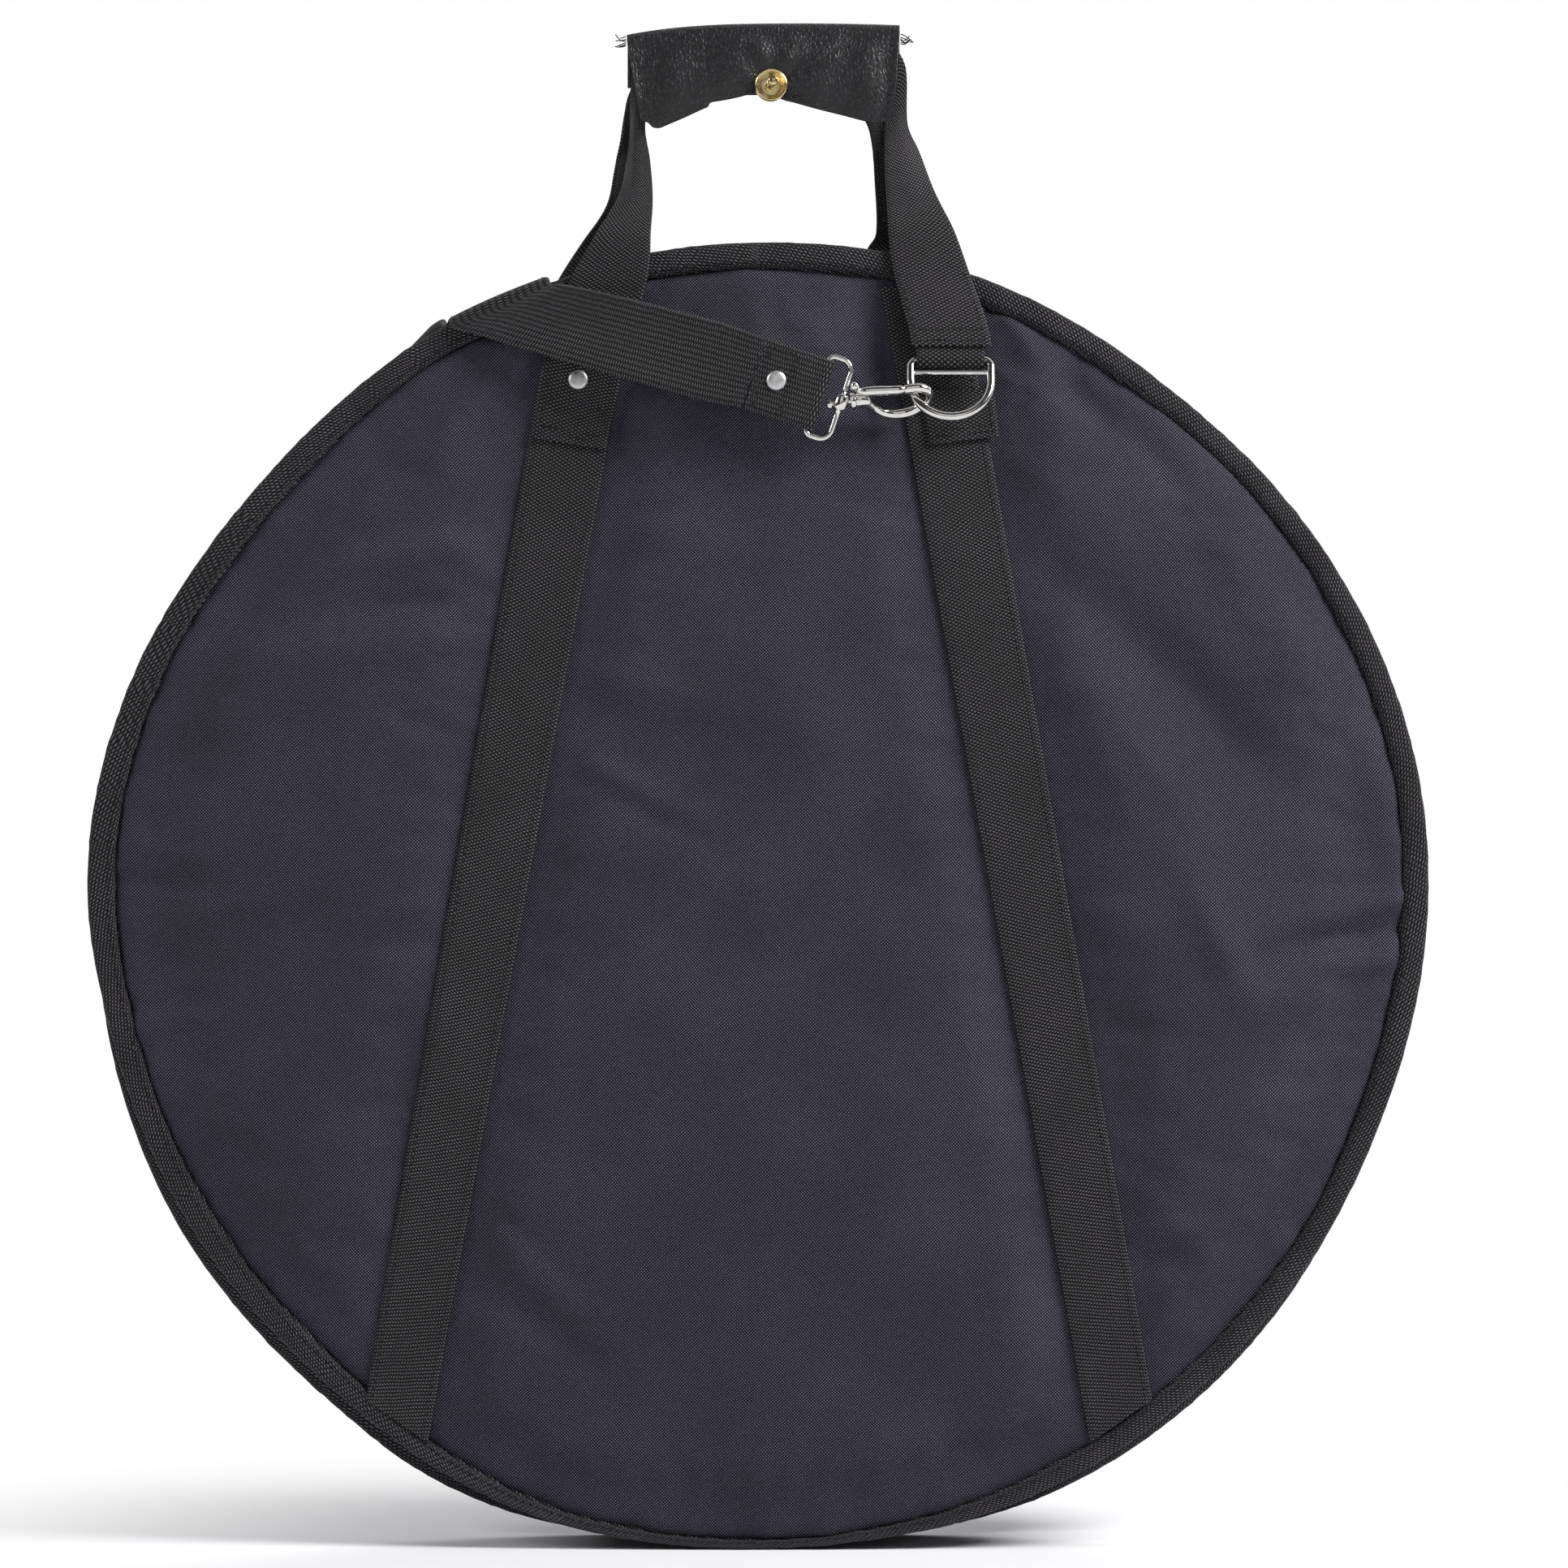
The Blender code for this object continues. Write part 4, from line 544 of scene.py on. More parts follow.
def rim_band(name, low, high, reach, thickness, start, end, material, bulge=0.0, step=1.2):
    """A band round the rim from one depth to another, between two clock angles."""
    count = max(2, int((end - start) / step))
    columns = 9
    points, faces, places = [], [], []
    for layer in (0, 1):
        for n in range(count + 1):
            turn = math.radians(start + (end - start) * n / count)
            for k in range(columns):
                across = k / (columns - 1)
                y = low + (high - low) * across
                puff = bulge * math.sin(math.pi * across) ** 0.7
                puff += bulge * 0.35 * noise.noise(Vector((math.sin(turn) * 14, math.cos(turn) * 14, y * 40)))
                far = (reach + puff - thickness * layer) * flat_foot(turn)
                points.append((far * math.sin(turn), y, MIDDLE + far * math.cos(turn)))
                places.append((reach * turn * 1000, y * 1000))
    size = (count + 1) * columns
    for layer in (0, 1):
        for n in range(count):
            for k in range(columns - 1):
                a = layer * size + n * columns + k
                quad = (a, a + columns, a + columns + 1, a + 1)
                faces.append(quad if layer == 0 else quad[::-1])
    rims = [(n * columns, (n + 1) * columns) for n in range(count)]
    rims += [((n + 1) * columns + columns - 1, n * columns + columns - 1) for n in range(count)]
    rims += [(k + 1, k) for k in range(columns - 1)]
    rims += [(count * columns + k, count * columns + k + 1) for k in range(columns - 1)]
    faces += [(a, a + size, b + size, b) for a, b in rims]
    mesh = mesh_from(name, points, faces, places)
    mesh.set_sharp_from_angle(angle=math.radians(50))
    return object_from(name, mesh, material)


def coil(name, side, start, end, material):
    """The teeth of a coil zip: fine loops in a row along the tape's edge."""
    pitch = 1.35
    count = int(math.radians(end - start) * GUSSET * 1000 / pitch)
    points, faces = [], []
    for n in range(count):
        turn = math.radians(start) + (n + (0.5 if side > 0 else 0)) * pitch / (GUSSET * 1000)
        out = Vector((math.sin(turn), 0, math.cos(turn)))
        along = Vector((math.cos(turn), 0, -math.sin(turn)))
        middle = Vector((0, 0, MIDDLE)) + out * (GUSSET - 0.0006)
        base = len(points)
        section = [(0.00015, 0), (0.0006, 0.0011), (0.0021, 0.0012), (0.0028, 0.0004), (0.0028, -0.0009), (0.0004, -0.0009)]
        for shift in (-0.00046, 0.00046):
            for depth, rise in section:
                inset = 0.85 if shift else 1
                points.append(middle + along * shift + out * rise * inset + Vector((0, side * depth, 0)))
        ring = len(section)
        for k in range(ring):
            a, b = base + k, base + (k + 1) % ring
            faces.append((a, b, b + ring, a + ring) if side > 0 else (b, a, a + ring, b + ring))
        faces.append(tuple(base + k for k in (range(ring) if side < 0 else reversed(range(ring)))))
        faces.append(tuple(base + ring + k for k in (reversed(range(ring)) if side < 0 else range(ring))))
    mesh = mesh_from(name, points, faces, [(p.x * 1000, p.z * 1000) for p in points])
    return object_from(name, mesh, material)


# Zip tape: fine herringbone polyester, dull black
tape_cloth = woven(
    "woven_zip_tape", "#141416", "#343438",
    lambda tree: weave(tree, 0.7, 1.1, math.radians(35)), 0.06, 0.7, 40, 0.05,
)
# Nylon coil: extruded monofilament, smooth and a little shiny
nylon = bpy.data.materials.new("extruded_nylon_coil")
nylon.use_nodes = True
tree = nylon.node_tree
shader = tree.nodes["Principled BSDF"]
shader.inputs["IOR"].default_value = 1.53
streaks = add(tree, "ShaderNodeTexNoise", {"Scale": 900.0, "Detail": 2.0})
tone = add(tree, "ShaderNodeMix", {"Factor": streaks.outputs["Fac"], 6: colour("#141416"), 7: colour("#26262a")},
           data_type="RGBA")
gloss = add(tree, "ShaderNodeMapRange", {"Value": streaks.outputs["Fac"], "To Min": 0.28, "To Max": 0.45})
tree.links.new(tone.outputs[2], shader.inputs["Base Color"])
tree.links.new(gloss.outputs[0], shader.inputs["Roughness"])

band_front = rim_band("front_gusset_cloth", -0.0272, -0.0118, GUSSET, 0.0033, -FOLD_TURN, FOLD_TURN, oxford, 0.0010)
band_rear = rim_band("rear_gusset_cloth", 0.0118, 0.0272, GUSSET, 0.0033, -FOLD_TURN, FOLD_TURN, oxford, 0.0010)
band_foot = rim_band("bottom_gusset_cloth", -0.0272, 0.0272, GUSSET, 0.0033, FOLD_TURN, 360 - FOLD_TURN, oxford, 0.0006)
tape_front = rim_band("front_zip_tape", -0.0124, -0.0026, GUSSET - 0.0008, 0.0008, -FOLD_TURN, FOLD_TURN, tape_cloth)
tape_rear = rim_band("rear_zip_tape", 0.0026, 0.0124, GUSSET - 0.0008, 0.0008, -FOLD_TURN, FOLD_TURN, tape_cloth)
coil_front = coil("front_zip_coil", -1, -FOLD_TURN + 0.4, FOLD_TURN - 0.4, nylon)
coil_rear = coil("rear_zip_coil", 1, -FOLD_TURN + 0.4, FOLD_TURN - 0.4, nylon)
for piece, body, node, slot in (
    (band_front, "front_half", "front_gusset", "oxford_cloth"),
    (band_rear, "rear_half", "rear_gusset", "oxford_cloth"),
    (band_foot, "front_half", "bottom_gusset", "oxford_cloth"),
    (tape_front, "front_half", "zip_tape_front", "twill_binding"),
    (tape_rear, "rear_half", "zip_tape_rear", "twill_binding"),
    (coil_front, "front_half", "zip_teeth_front", "zip_coil"),
    (coil_rear, "rear_half", "zip_teeth_rear", "zip_coil"),
):
    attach(piece, body)
    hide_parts(node)

# Bindings. Polyester twill tape folded over each raw seam and sewn through with one row of lockstitch.
# The filled bag pushes it in waves, and rolls it under at the foot.


def binding(name, table, band, side, material):
    """The folded tape round one seam, and the line of its stitches as (point, outward normal) pairs."""
    steps = 540
    section = []
    for n in range(18):
        turn = 2 * math.pi * n / 18
        c, s = math.cos(turn), math.sin(turn)
        section.append((math.copysign(abs(c) ** 0.7, c), math.copysign(abs(s) ** 0.6, s)))
    points, faces, places, seam = [], [], [], []
    for n in range(steps):
        clock = 360 * n / steps
        turn = math.radians(clock)
        out = Vector((math.sin(turn), 0, math.cos(turn)))
        reach = ring_value(table, clock) / 1000
        wide = ring_value(band, clock) / 1000
        ripple = noise.noise(Vector((math.sin(turn) * 16, math.cos(turn) * 16, side * 4.0)))
        small = noise.noise(Vector((math.sin(turn) * 60, math.cos(turn) * 60, side * 4.0)))
        roll = 0.0012 * ripple
        thick = 0.0053 + 0.0007 * small
        reach += 0.0004 * small
        reach = min(reach, MIDDLE / max(0.2, -out.z)) if out.z < 0 else reach
        middle = Vector((0, side * 0.0299, MIDDLE)) + out * (reach - wide / 2)
        spine = reach * turn * 1000
        for a, b in section:
            tuck = max(0.0, -a) * max(0.0, -b) ** 0.5
            place = middle + out * (a * wide / 2 - 0.0050 * tuck)
            points.append(place + Vector((0, side * (b * thick / 2 + roll * a - 0.0030 * tuck), 0)))
        around = [math.atan2(b, a) * 6.0 for a, b in section]
        places += [(spine, spot) for spot in around]
        rise = side * (thick / 2 + 0.0001 - roll * 0.45)
        seam.append((middle - out * (wide * 0.27) + Vector((0, rise, 0)), Vector((0, side, 0))))
    ring = len(section)
    for n in range(steps):
        for k in range(ring):
            a, b = n * ring + k, n * ring + (k + 1) % ring
            c, d = (b + ring) % (steps * ring), (a + ring) % (steps * ring)
            faces.append((a, b, c, d) if side < 0 else (d, c, b, a))
    mesh = mesh_from(name, points, faces)
    layer = mesh.uv_layers.new(name="cloth")
    for poly in mesh.polygons:
        spots = [places[mesh.loops[i].vertex_index] for i in poly.loop_indices]
        top, wide = max(p[0] for p in spots), max(p[1] for p in spots)
        for i, (u, v) in zip(poly.loop_indices, spots):
            u += 2 * math.pi * 315 if top - u > 900 else 0
            v += 2 * math.pi * 6 if wide - v > 18 else 0
            layer.data[i].uv = (u, v)
    return object_from(name, mesh, material), seam + seam[:1]


def stitches(name, lines, pitch, thread, material, share=0.72):
    """Lockstitches along lines of (point, outward normal) pairs: slim grains half sunk in the cloth. Sizes in mm."""
    points, faces, places = [], [], []
    half, fat = pitch * share / 2000, thread / 2000
    for line in lines:
        spots = np.array([tuple(p) for p, _ in line])
        outs = np.array([tuple(q) for _, q in line])
        far = np.concatenate([[0], np.cumsum(np.linalg.norm(np.diff(spots, axis=0), axis=1))])
        count = int(far[-1] * 1000 / pitch)
        for n in range(count):
            stations = [(n + 0.5) * pitch / 1000 + shift for shift in (-half, 0, half)]
            a, b, c = (Vector([np.interp(s, far, spots[:, i]) for i in range(3)]) for s in stations)
            out = Vector([np.interp(stations[1], far, outs[:, i]) for i in range(3)]).normalized()
            along = (c - a).normalized()
            side = out.cross(along)
            base = len(points)
            points.append(a - out * fat * 0.5)
            for share_along in (-0.5, 0.5):
                spine = b + along * half * share_along
                for turn in (0, 72, 144, 216, 288):
                    t = math.radians(turn)
                    points.append(spine + (out * math.cos(t) + side * math.sin(t)) * fat)
            points.append(c - out * fat * 0.5)
            for k in range(5):
                m = (k + 1) % 5
                faces.append((base, base + 1 + m, base + 1 + k))
                faces.append((base + 1 + k, base + 1 + m, base + 6 + m, base + 6 + k))
                faces.append((base + 11, base + 6 + k, base + 6 + m))
    places = [(p.x * 1000, p.z * 1000) for p in points]
    return object_from(name, mesh_from(name, points, faces, places), material)


def zigzag(tree, pitch, slant, column):
    """Twill ribs that change direction from column to column, as a height of -1 to 1. Sizes in mm."""
    place = add(tree, "ShaderNodeUVMap", uv_map="cloth").outputs[0]
    drift = add(tree, "ShaderNodeTexNoise", {"Vector": place, "Scale": 0.2, "Detail": 2.0})
    parts = add(tree, "ShaderNodeSeparateXYZ", {0: place})
    fold = add(tree, "ShaderNodeMath", {0: parts.outputs["Y"], 1: column}, operation="PINGPONG")
    lean = add(tree, "ShaderNodeMath", {0: fold.outputs[0], 1: math.cos(slant) * 2 * math.pi / pitch},
               operation="MULTIPLY")
    run = add(tree, "ShaderNodeMath", {
        0: parts.outputs["X"], 1: math.sin(slant) * 2 * math.pi / pitch, 2: lean.outputs[0],
    }, operation="MULTIPLY_ADD")
    waver = add(tree, "ShaderNodeMath", {0: drift.outputs["Fac"], 1: 4.0, 2: run.outputs[0]},
                operation="MULTIPLY_ADD")
    return add(tree, "ShaderNodeMath", {0: waver.outputs[0]}, operation="SINE").outputs[0]


# Polyester twill tape: herringbone ribs 1.5 mm apart, a dull black with a painted highlight on the rib tops
twill = woven(
    "corded_twill_tape", "#050405", "#666168",
    lambda tree: weave(tree, 2.1, 0.75, math.radians(-28)), 0.30, 0.6, 30, 0.04,
)
# Sewing thread: bonded polyester filament, black with a slight shine
thread = woven(
    "bonded_polyester_thread", "#0d0d0f", "#3a393e",
    lambda tree: weave(tree, 0.3, 0.3, math.radians(30)), 0.03, 0.45, 20, 0.05,
)
front_tape, front_seam = binding("front_binding_tape", FRONT_RIM, BAND, -1, twill)
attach(front_tape, "front_half")
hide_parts("front_binding")
front_sewing = stitches("front_binding_stitches", [front_seam], 3.6, 0.7, thread)
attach(front_sewing, "front_half")
rear_tape, rear_seam = binding("rear_binding_tape", REAR_RIM, BAND, 1, twill)
rear_sewing = stitches("rear_binding_stitches", [rear_seam], 3.6, 0.7, thread)
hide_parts("rear_binding", "rear_binding_foot")
for piece in (rear_tape, rear_sewing):
    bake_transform(piece)

# Long straps. Black ribbed polypropylene webbing, 38 mm wide and 1.8 mm thick, sewn down both edges of each cover
# from under the handles to the foot. The padding rises a little on both sides of them.


def resample(rows, step):
    """Rows of points laid closer together, on a smooth curve through the given ones."""
    rows = np.array([[tuple(p) for p in row] for row in rows], dtype=float)
    middle = rows.mean(axis=1)
    far = np.concatenate([[0], np.cumsum(np.linalg.norm(np.diff(middle, axis=0), axis=1))])
    if len(rows) == 2:
        slopes = np.repeat((rows[1:] - rows[:1]) / far[-1], 2, axis=0)
    else:
        slopes = np.gradient(rows, far, axis=0)
    count = max(2, int(round(far[-1] / step)) + 1)
    out = []
    for spot in np.linspace(0, far[-1], count):
        n = min(int(np.searchsorted(far, spot, side="right")) - 1, len(far) - 2)
        span = far[n + 1] - far[n]
        t = (spot - far[n]) / span
        out.append(
            (2 * t**3 - 3 * t**2 + 1) * rows[n] + (t**3 - 2 * t**2 + t) * span * slopes[n]
            + (3 * t**2 - 2 * t**3) * rows[n + 1] + (t**3 - t**2) * span * slopes[n + 1]
        )
    return np.array(out)


def ribbon(name, rows, thickness, material, out, columns=8, wave=0.0, skew=0.0):
    """A band of webbing on rows of points across its inner face, with rounded selvedges.

    Its outer face is on the side of `out` at its first row. Gives the object and its outer face, for stitches.
    """
    rows = np.asarray([[tuple(p) for p in row] for row in rows], dtype=float)
    wide = float(np.linalg.norm(rows[0, -1] - rows[0, 0]))
    edge = min(0.12, 0.0007 / wide)
    shares = [0, edge, 2.2 * edge] + [n / columns for n in range(1, columns)] + [1 - 2.2 * edge, 1 - edge, 1]
    lift = [0.5, 0.9, 1.0] + [1.0] * (columns - 1) + [1.0, 0.9, 0.5]
    marks = np.linspace(0, 1, rows.shape[1])
    grid = np.stack([
        np.stack([np.interp(shares, marks, row[:, axis]) for axis in range(3)], axis=1) for row in rows
    ])
    along = np.gradient(grid, axis=0)
    across = np.gradient(grid, axis=1)
    normal = np.cross(along, across)
    normal /= np.maximum(np.linalg.norm(normal, axis=2, keepdims=True), 1e-12)
    if float(np.dot(normal[0, len(shares) // 2], np.array(tuple(out)))) < 0:
        normal = -normal
        turned = True
    else:
        turned = False
    if wave:
        for i in range(grid.shape[0]):
            for j in range(grid.shape[1]):
                p = grid[i, j]
                grid[i, j] += normal[i, j] * wave * (0.5 + noise.noise(Vector((p[0] * 26, p[1] * 26, p[2] * 26))))
    high = np.array(lift)[None, :, None] * thickness
    low = (1 - np.array(lift))[None, :, None] * thickness
    top, under = grid + normal * high, grid + normal * low
    u = np.concatenate([[0], np.cumsum(np.linalg.norm(np.diff(grid[0], axis=0), axis=1))]) * 1000
    middle = grid[:, len(shares) // 2]
    v = np.concatenate([[0], np.cumsum(np.linalg.norm(np.diff(middle, axis=0), axis=1))]) * 1000
    count, across_count = grid.shape[0], grid.shape[1]
    size = count * across_count
    points = np.concatenate([top.reshape(-1, 3), under.reshape(-1, 3)])
    place = [(u[j] + skew, v[i]) for i in range(count) for j in range(across_count)] * 2
    faces = []
    for i in range(count - 1):
        for j in range(across_count - 1):
            a = i * across_count + j
            quad = (a, a + 1, a + across_count + 1, a + across_count)
            faces.append(quad if turned else quad[::-1])
            low_quad = tuple(size + n for n in quad)
            faces.append(low_quad[::-1] if turned else low_quad)
    for j in range(across_count - 1):
        for i, flip in ((0, False), (count - 1, True)):
            a = i * across_count + j
            quad = (a, a + size, a + 1 + size, a + 1)
            faces.append(quad if flip != turned else quad[::-1])
    mesh = mesh_from(name, points, faces, place)
    made = object_from(name, mesh, material)
    weld = made.modifiers.new("weld", "WELD")
    weld.merge_threshold = 0.00002
    mesh = settled(made, name)
    made.modifiers.clear()
    made.data = mesh
    mesh.set_sharp_from_angle(angle=math.radians(62))
    return made, (top, normal)


def seam_line(face, inset, start=0.0, end=1.0, side=0):
    """A line along a band, a set distance in from its left (0) or right (1) edge, in metres."""
    top, normal = face
    line = []
    first, last = int(start * (len(top) - 1)), int(round(end * (len(top) - 1)))
    for i in range(first, last + 1):
        row, outs = top[i], normal[i]
        far = np.concatenate([[0], np.cumsum(np.linalg.norm(np.diff(row, axis=0), axis=1))])
        spot = inset if side == 0 else far[-1] - inset
        line.append((Vector([np.interp(spot, far, row[:, k]) for k in range(3)]),
                     Vector([np.interp(spot, far, outs[:, k]) for k in range(3)])))
    return line


def cross_line(face, share, inset=0.004):
    """A line across a band at a share of its length."""
    top, normal = face
    i = int(round(share * (len(top) - 1)))
    far = np.concatenate([[0], np.cumsum(np.linalg.norm(np.diff(top[i], axis=0), axis=1))])
    spots = np.linspace(inset, far[-1] - inset, 16)
    return [(Vector([np.interp(s, far, top[i][:, k]) for k in range(3)]),
             Vector([np.interp(s, far, normal[i][:, k]) for k in range(3)])) for s in spots]


def box_line(face, a, b):
    """A straight line on a band between two places, each (share across, share along)."""
    top, normal = face
    line = []
    for n in range(24):
        t = n / 23
        across = (a[0] + (b[0] - a[0]) * t) * (top.shape[1] - 1)
        along = (a[1] + (b[1] - a[1]) * t) * (top.shape[0] - 1)
        i, j = min(int(along), top.shape[0] - 2), min(int(across), top.shape[1] - 2)
        fi, fj = along - i, across - j
        blend_of = lambda grid: ((1 - fi) * ((1 - fj) * grid[i, j] + fj * grid[i, j + 1])
                                 + fi * ((1 - fj) * grid[i + 1, j] + fj * grid[i + 1, j + 1]))
        line.append((Vector(blend_of(top)), Vector(blend_of(normal))))
    return line


def laid_rows(side, edges, lift, step=0.005, columns=9, floor_depth=0.0):
    """Rows of points on a cover's face between two edges of (x, z) points, outer edge first."""
    flat = [[(a[0], 0, a[1]), (b[0], 0, b[1])] for a, b in zip(*edges)]
    rows = resample(flat, step)
    laid = []
    for row in rows:
        new = []
        for n in range(columns):
            p = row[0] + (row[-1] - row[0]) * n / (columns - 1)
            depth = max(face_at(side, p[0], p[2]), floor_depth) + lift
            new.append((p[0], side * depth, p[2]))
        laid.append(new)
    smooth = np.array(laid)
    for _ in range(2):
        smooth[1:-1, :, 1] = (smooth[:-2, :, 1] + 2 * smooth[1:-1, :, 1] + smooth[2:, :, 1]) / 4
    depths = np.maximum(side * smooth[:, :, 1], side * np.array(laid)[:, :, 1])
    smooth[:, :, 1] = side * depths
    return smooth


# Polypropylene webbing: ribs across it, each a row of short floats 1.5 mm by 0.85 mm on black, with a painted highlight
# on the floats
webbing = woven(
    "ribbed_polypropylene_webbing", "#050405", "#656066",
    lambda tree: weave(tree, 1.5, 0.85), 0.24, 0.58, 45, 0.03,
)
for side, prefix in ((-1, "front"), (1, "rear")):
    for sign, hand in ((-1, "left"), (1, "right")):
        edges = [[(sign * x, z) for x, z in edge] for edge in LONG_EDGES]
        strip, face = ribbon(f"{prefix}_long_strap_{hand}", laid_rows(side, edges, 0.0003), 0.0016, webbing,
                             (0, side, 0))
        lines = [seam_line(face, 0.0035, side=k) for k in (0, 1)]
        sewing = stitches(f"{prefix}_long_strap_{hand}_stitches", lines, 3.3, 0.7, thread)
        nodes = [f"{prefix}_webbing_{hand}"] + ([f"rear_webbing_{hand}_foot"] if side > 0 else [])
        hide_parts(*nodes)
        for piece in (strip, sewing):
            if side < 0:
                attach(piece, "front_half")
            else:
                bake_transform(piece)

# Handle ends. Each handle is one webbing strap. One end is sewn over the long strap with a boxed cross of thread and
# a rivet, the other is folded round a D-ring's bar. A short patch under the ring covers the long strap's raw end.
END_EDGES = (
    ((-0.0769, 0.6240), (-0.0781, 0.6218), (-0.0870, 0.6060), (-0.0943, 0.5890), (-0.1000, 0.5700), (-0.1074, 0.5263)),
    ((-0.0513, 0.6240), (-0.0513, 0.6218), (-0.0520, 0.6060), (-0.0572, 0.5860), (-0.0643, 0.5580), (-0.0724, 0.5209)),
)
PATCH_EDGES = (((0.0765, 0.5490), (0.0800, 0.5230)), ((0.1110, 0.5490), (0.1140, 0.5270)))
RING_X, RING_HEIGHT, RING_DEPTH, RING_RADIUS = 0.0905, 0.5625, 0.045679, 0.00225


def half_turn(side, rows):
    """Rows of points of a front piece as they are, or turned half round the bag for its rear twin."""
    way = 1 if side < 0 else -1
    return [[(way * p[0], way * p[1], *p[2:]) for p in row] for row in rows]


def lathe(name, profile, place, out, material, sides=40, lean=(0, 0, 0)):
    """A turned part: (radius, height) pairs in metres round an axis. Lean shifts it sideways as it rises."""
    out = Vector(out).normalized()
    first = out.orthogonal().normalized()
    second = out.cross(first)
    points, faces, places = [], [], []
    for radius, height in profile:
        for n in range(sides):
            turn = 2 * math.pi * n / sides
            spot = Vector(place) + out * height + (first * math.cos(turn) + second * math.sin(turn)) * radius
            points.append(spot + Vector(lean) * max(0, height))
            places.append((radius * 1000 * math.cos(turn) + height * 700, radius * 1000 * math.sin(turn)))
    for k in range(len(profile) - 1):
        for n in range(sides):
            a, b = k * sides + n, k * sides + (n + 1) % sides
            faces.append((a, b, b + sides, a + sides))
    faces.append(tuple(reversed(range(sides))))
    faces.append(tuple((len(profile) - 1) * sides + n for n in range(sides)))
    mesh = mesh_from(name, points, faces, places)
    mesh.set_sharp_from_angle(angle=math.radians(38))
    return object_from(name, mesh, material)


def metal(name, dark, light, rough_low, rough_high, grain, scratch):
    """A plated or polished metal with fine wear. Grain is the size in mm of its cloudy patches."""
    made = bpy.data.materials.new(name)
    made.use_nodes = True
    tree = made.node_tree
    shader = tree.nodes["Principled BSDF"]
    shader.inputs["Metallic"].default_value = 1.0
    place = add(tree, "ShaderNodeTexCoord").outputs["Object"]
    clouds = add(tree, "ShaderNodeTexNoise", {"Vector": place, "Scale": 1000 / grain, "Detail": 3.0})
    fine = add(tree, "ShaderNodeTexNoise", {"Vector": place, "Scale": 1000 / (grain * 0.12), "Detail": 2.0})
    rough = add(tree, "ShaderNodeMapRange", {
        "Value": clouds.outputs["Fac"], "From Min": 0.35, "From Max": 0.65, "To Min": rough_low, "To Max": rough_high,
    })
    tone = add(tree, "ShaderNodeMix", {
        "Factor": clouds.outputs["Fac"], 6: colour(dark), 7: colour(light),
    }, data_type="RGBA")
    bump = add(tree, "ShaderNodeBump", {"Height": fine.outputs["Fac"], "Strength": 0.4, "Distance": scratch / 1000})
    tree.links.new(tone.outputs[2], shader.inputs["Base Color"])
    tree.links.new(rough.outputs[0], shader.inputs["Roughness"])
    tree.links.new(bump.outputs[0], shader.inputs["Normal"])
    return made


# Nickel-plated steel, bright: a mirror with faint clouds of wear
nickel = metal("bright_nickel_plate", "#c9c6c3", "#efeeec", 0.07, 0.16, 4, 0.004)
# Nickel-plated brass, tumbled to a satin: a soft highlight on each rivet head
satin = metal("satin_nickel_rivet", "#b5b4b6", "#e2e2e4", 0.40, 0.52, 1.6, 0.012)
RIVET = ((0.0, 0.0015), (0.0012, 0.00148), (0.0024, 0.00140), (0.0033, 0.00125), (0.0039, 0.0010),
         (0.0043, 0.0007), (0.0046, 0.0003), (0.0045, -0.0003))


def rivet_head(name, place, out, body, node):
    """One low domed rivet head on the webbing."""
    head = lathe(name, RIVET, place, out, satin)
    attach(head, body)
    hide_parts(node)


for side, prefix in ((-1, "front"), (1, "rear")):
    body = prefix + "_half"
    way = -side
    edges = [[(way * x, z) for x, z in edge] for edge in PATCH_EDGES]
    patch, face = ribbon(f"{prefix}_ring_patch_webbing", laid_rows(side, edges, 0.0021, 0.003), 0.0018, webbing,
                         (0, side, 0), wave=0.0003)
    patch_sewing = stitches(f"{prefix}_ring_patch_stitches", [
        cross_line(face, 0.80), cross_line(face, 0.93), seam_line(face, 0.003, side=0), seam_line(face, 0.003, side=1),
    ], 2.6, 0.8, thread)
    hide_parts(f"{prefix}_ring_patch")
    # The loop that comes out from under the handle's hem and round the ring's bar: height, depth, middle, width
    wrap = RING_RADIUS + 0.0003
    loop = [(0.5860, 0.0406, 0.0885, 0.0330), (0.5740, 0.0451, 0.0900, 0.0328), (0.5675, 0.0473, 0.0905, 0.0322)]
    loop += [(RING_HEIGHT - wrap * math.sin(t), RING_DEPTH + wrap * math.cos(t), RING_X, 0.0320)
             for t in [math.pi * n / 10 for n in range(11)]]
    loop += [(0.5730, 0.0415, RING_X, 0.0320), (0.5880, 0.0390, RING_X, 0.0320)]
    rows = [[(x - w / 2, -d, z), (x + w / 2, -d, z)] for z, d, x, w in loop]
    loop_layer, face = ribbon(f"{prefix}_ring_tab_loop", resample(half_turn(side, rows), 0.0010), 0.0016, webbing,
                              (0, side, 0))
    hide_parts(f"{prefix}_ring_tab")
    for piece in (patch, patch_sewing, loop_layer):
        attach(piece, body)
    x, z = way * -0.0855, 0.5540
    spread = 0.004
    slope_x = (face_at(side, x + spread, z) - face_at(side, x - spread, z)) / (2 * spread)
    slope_z = (face_at(side, x, z + spread) - face_at(side, x, z - spread)) / (2 * spread)
    rivet_head(f"{prefix}_handle_rivet_head", (x, side * (face_at(side, x, z) + 0.0041), z),
               (-slope_x, side, -slope_z), body, f"{prefix}_handle_rivet")

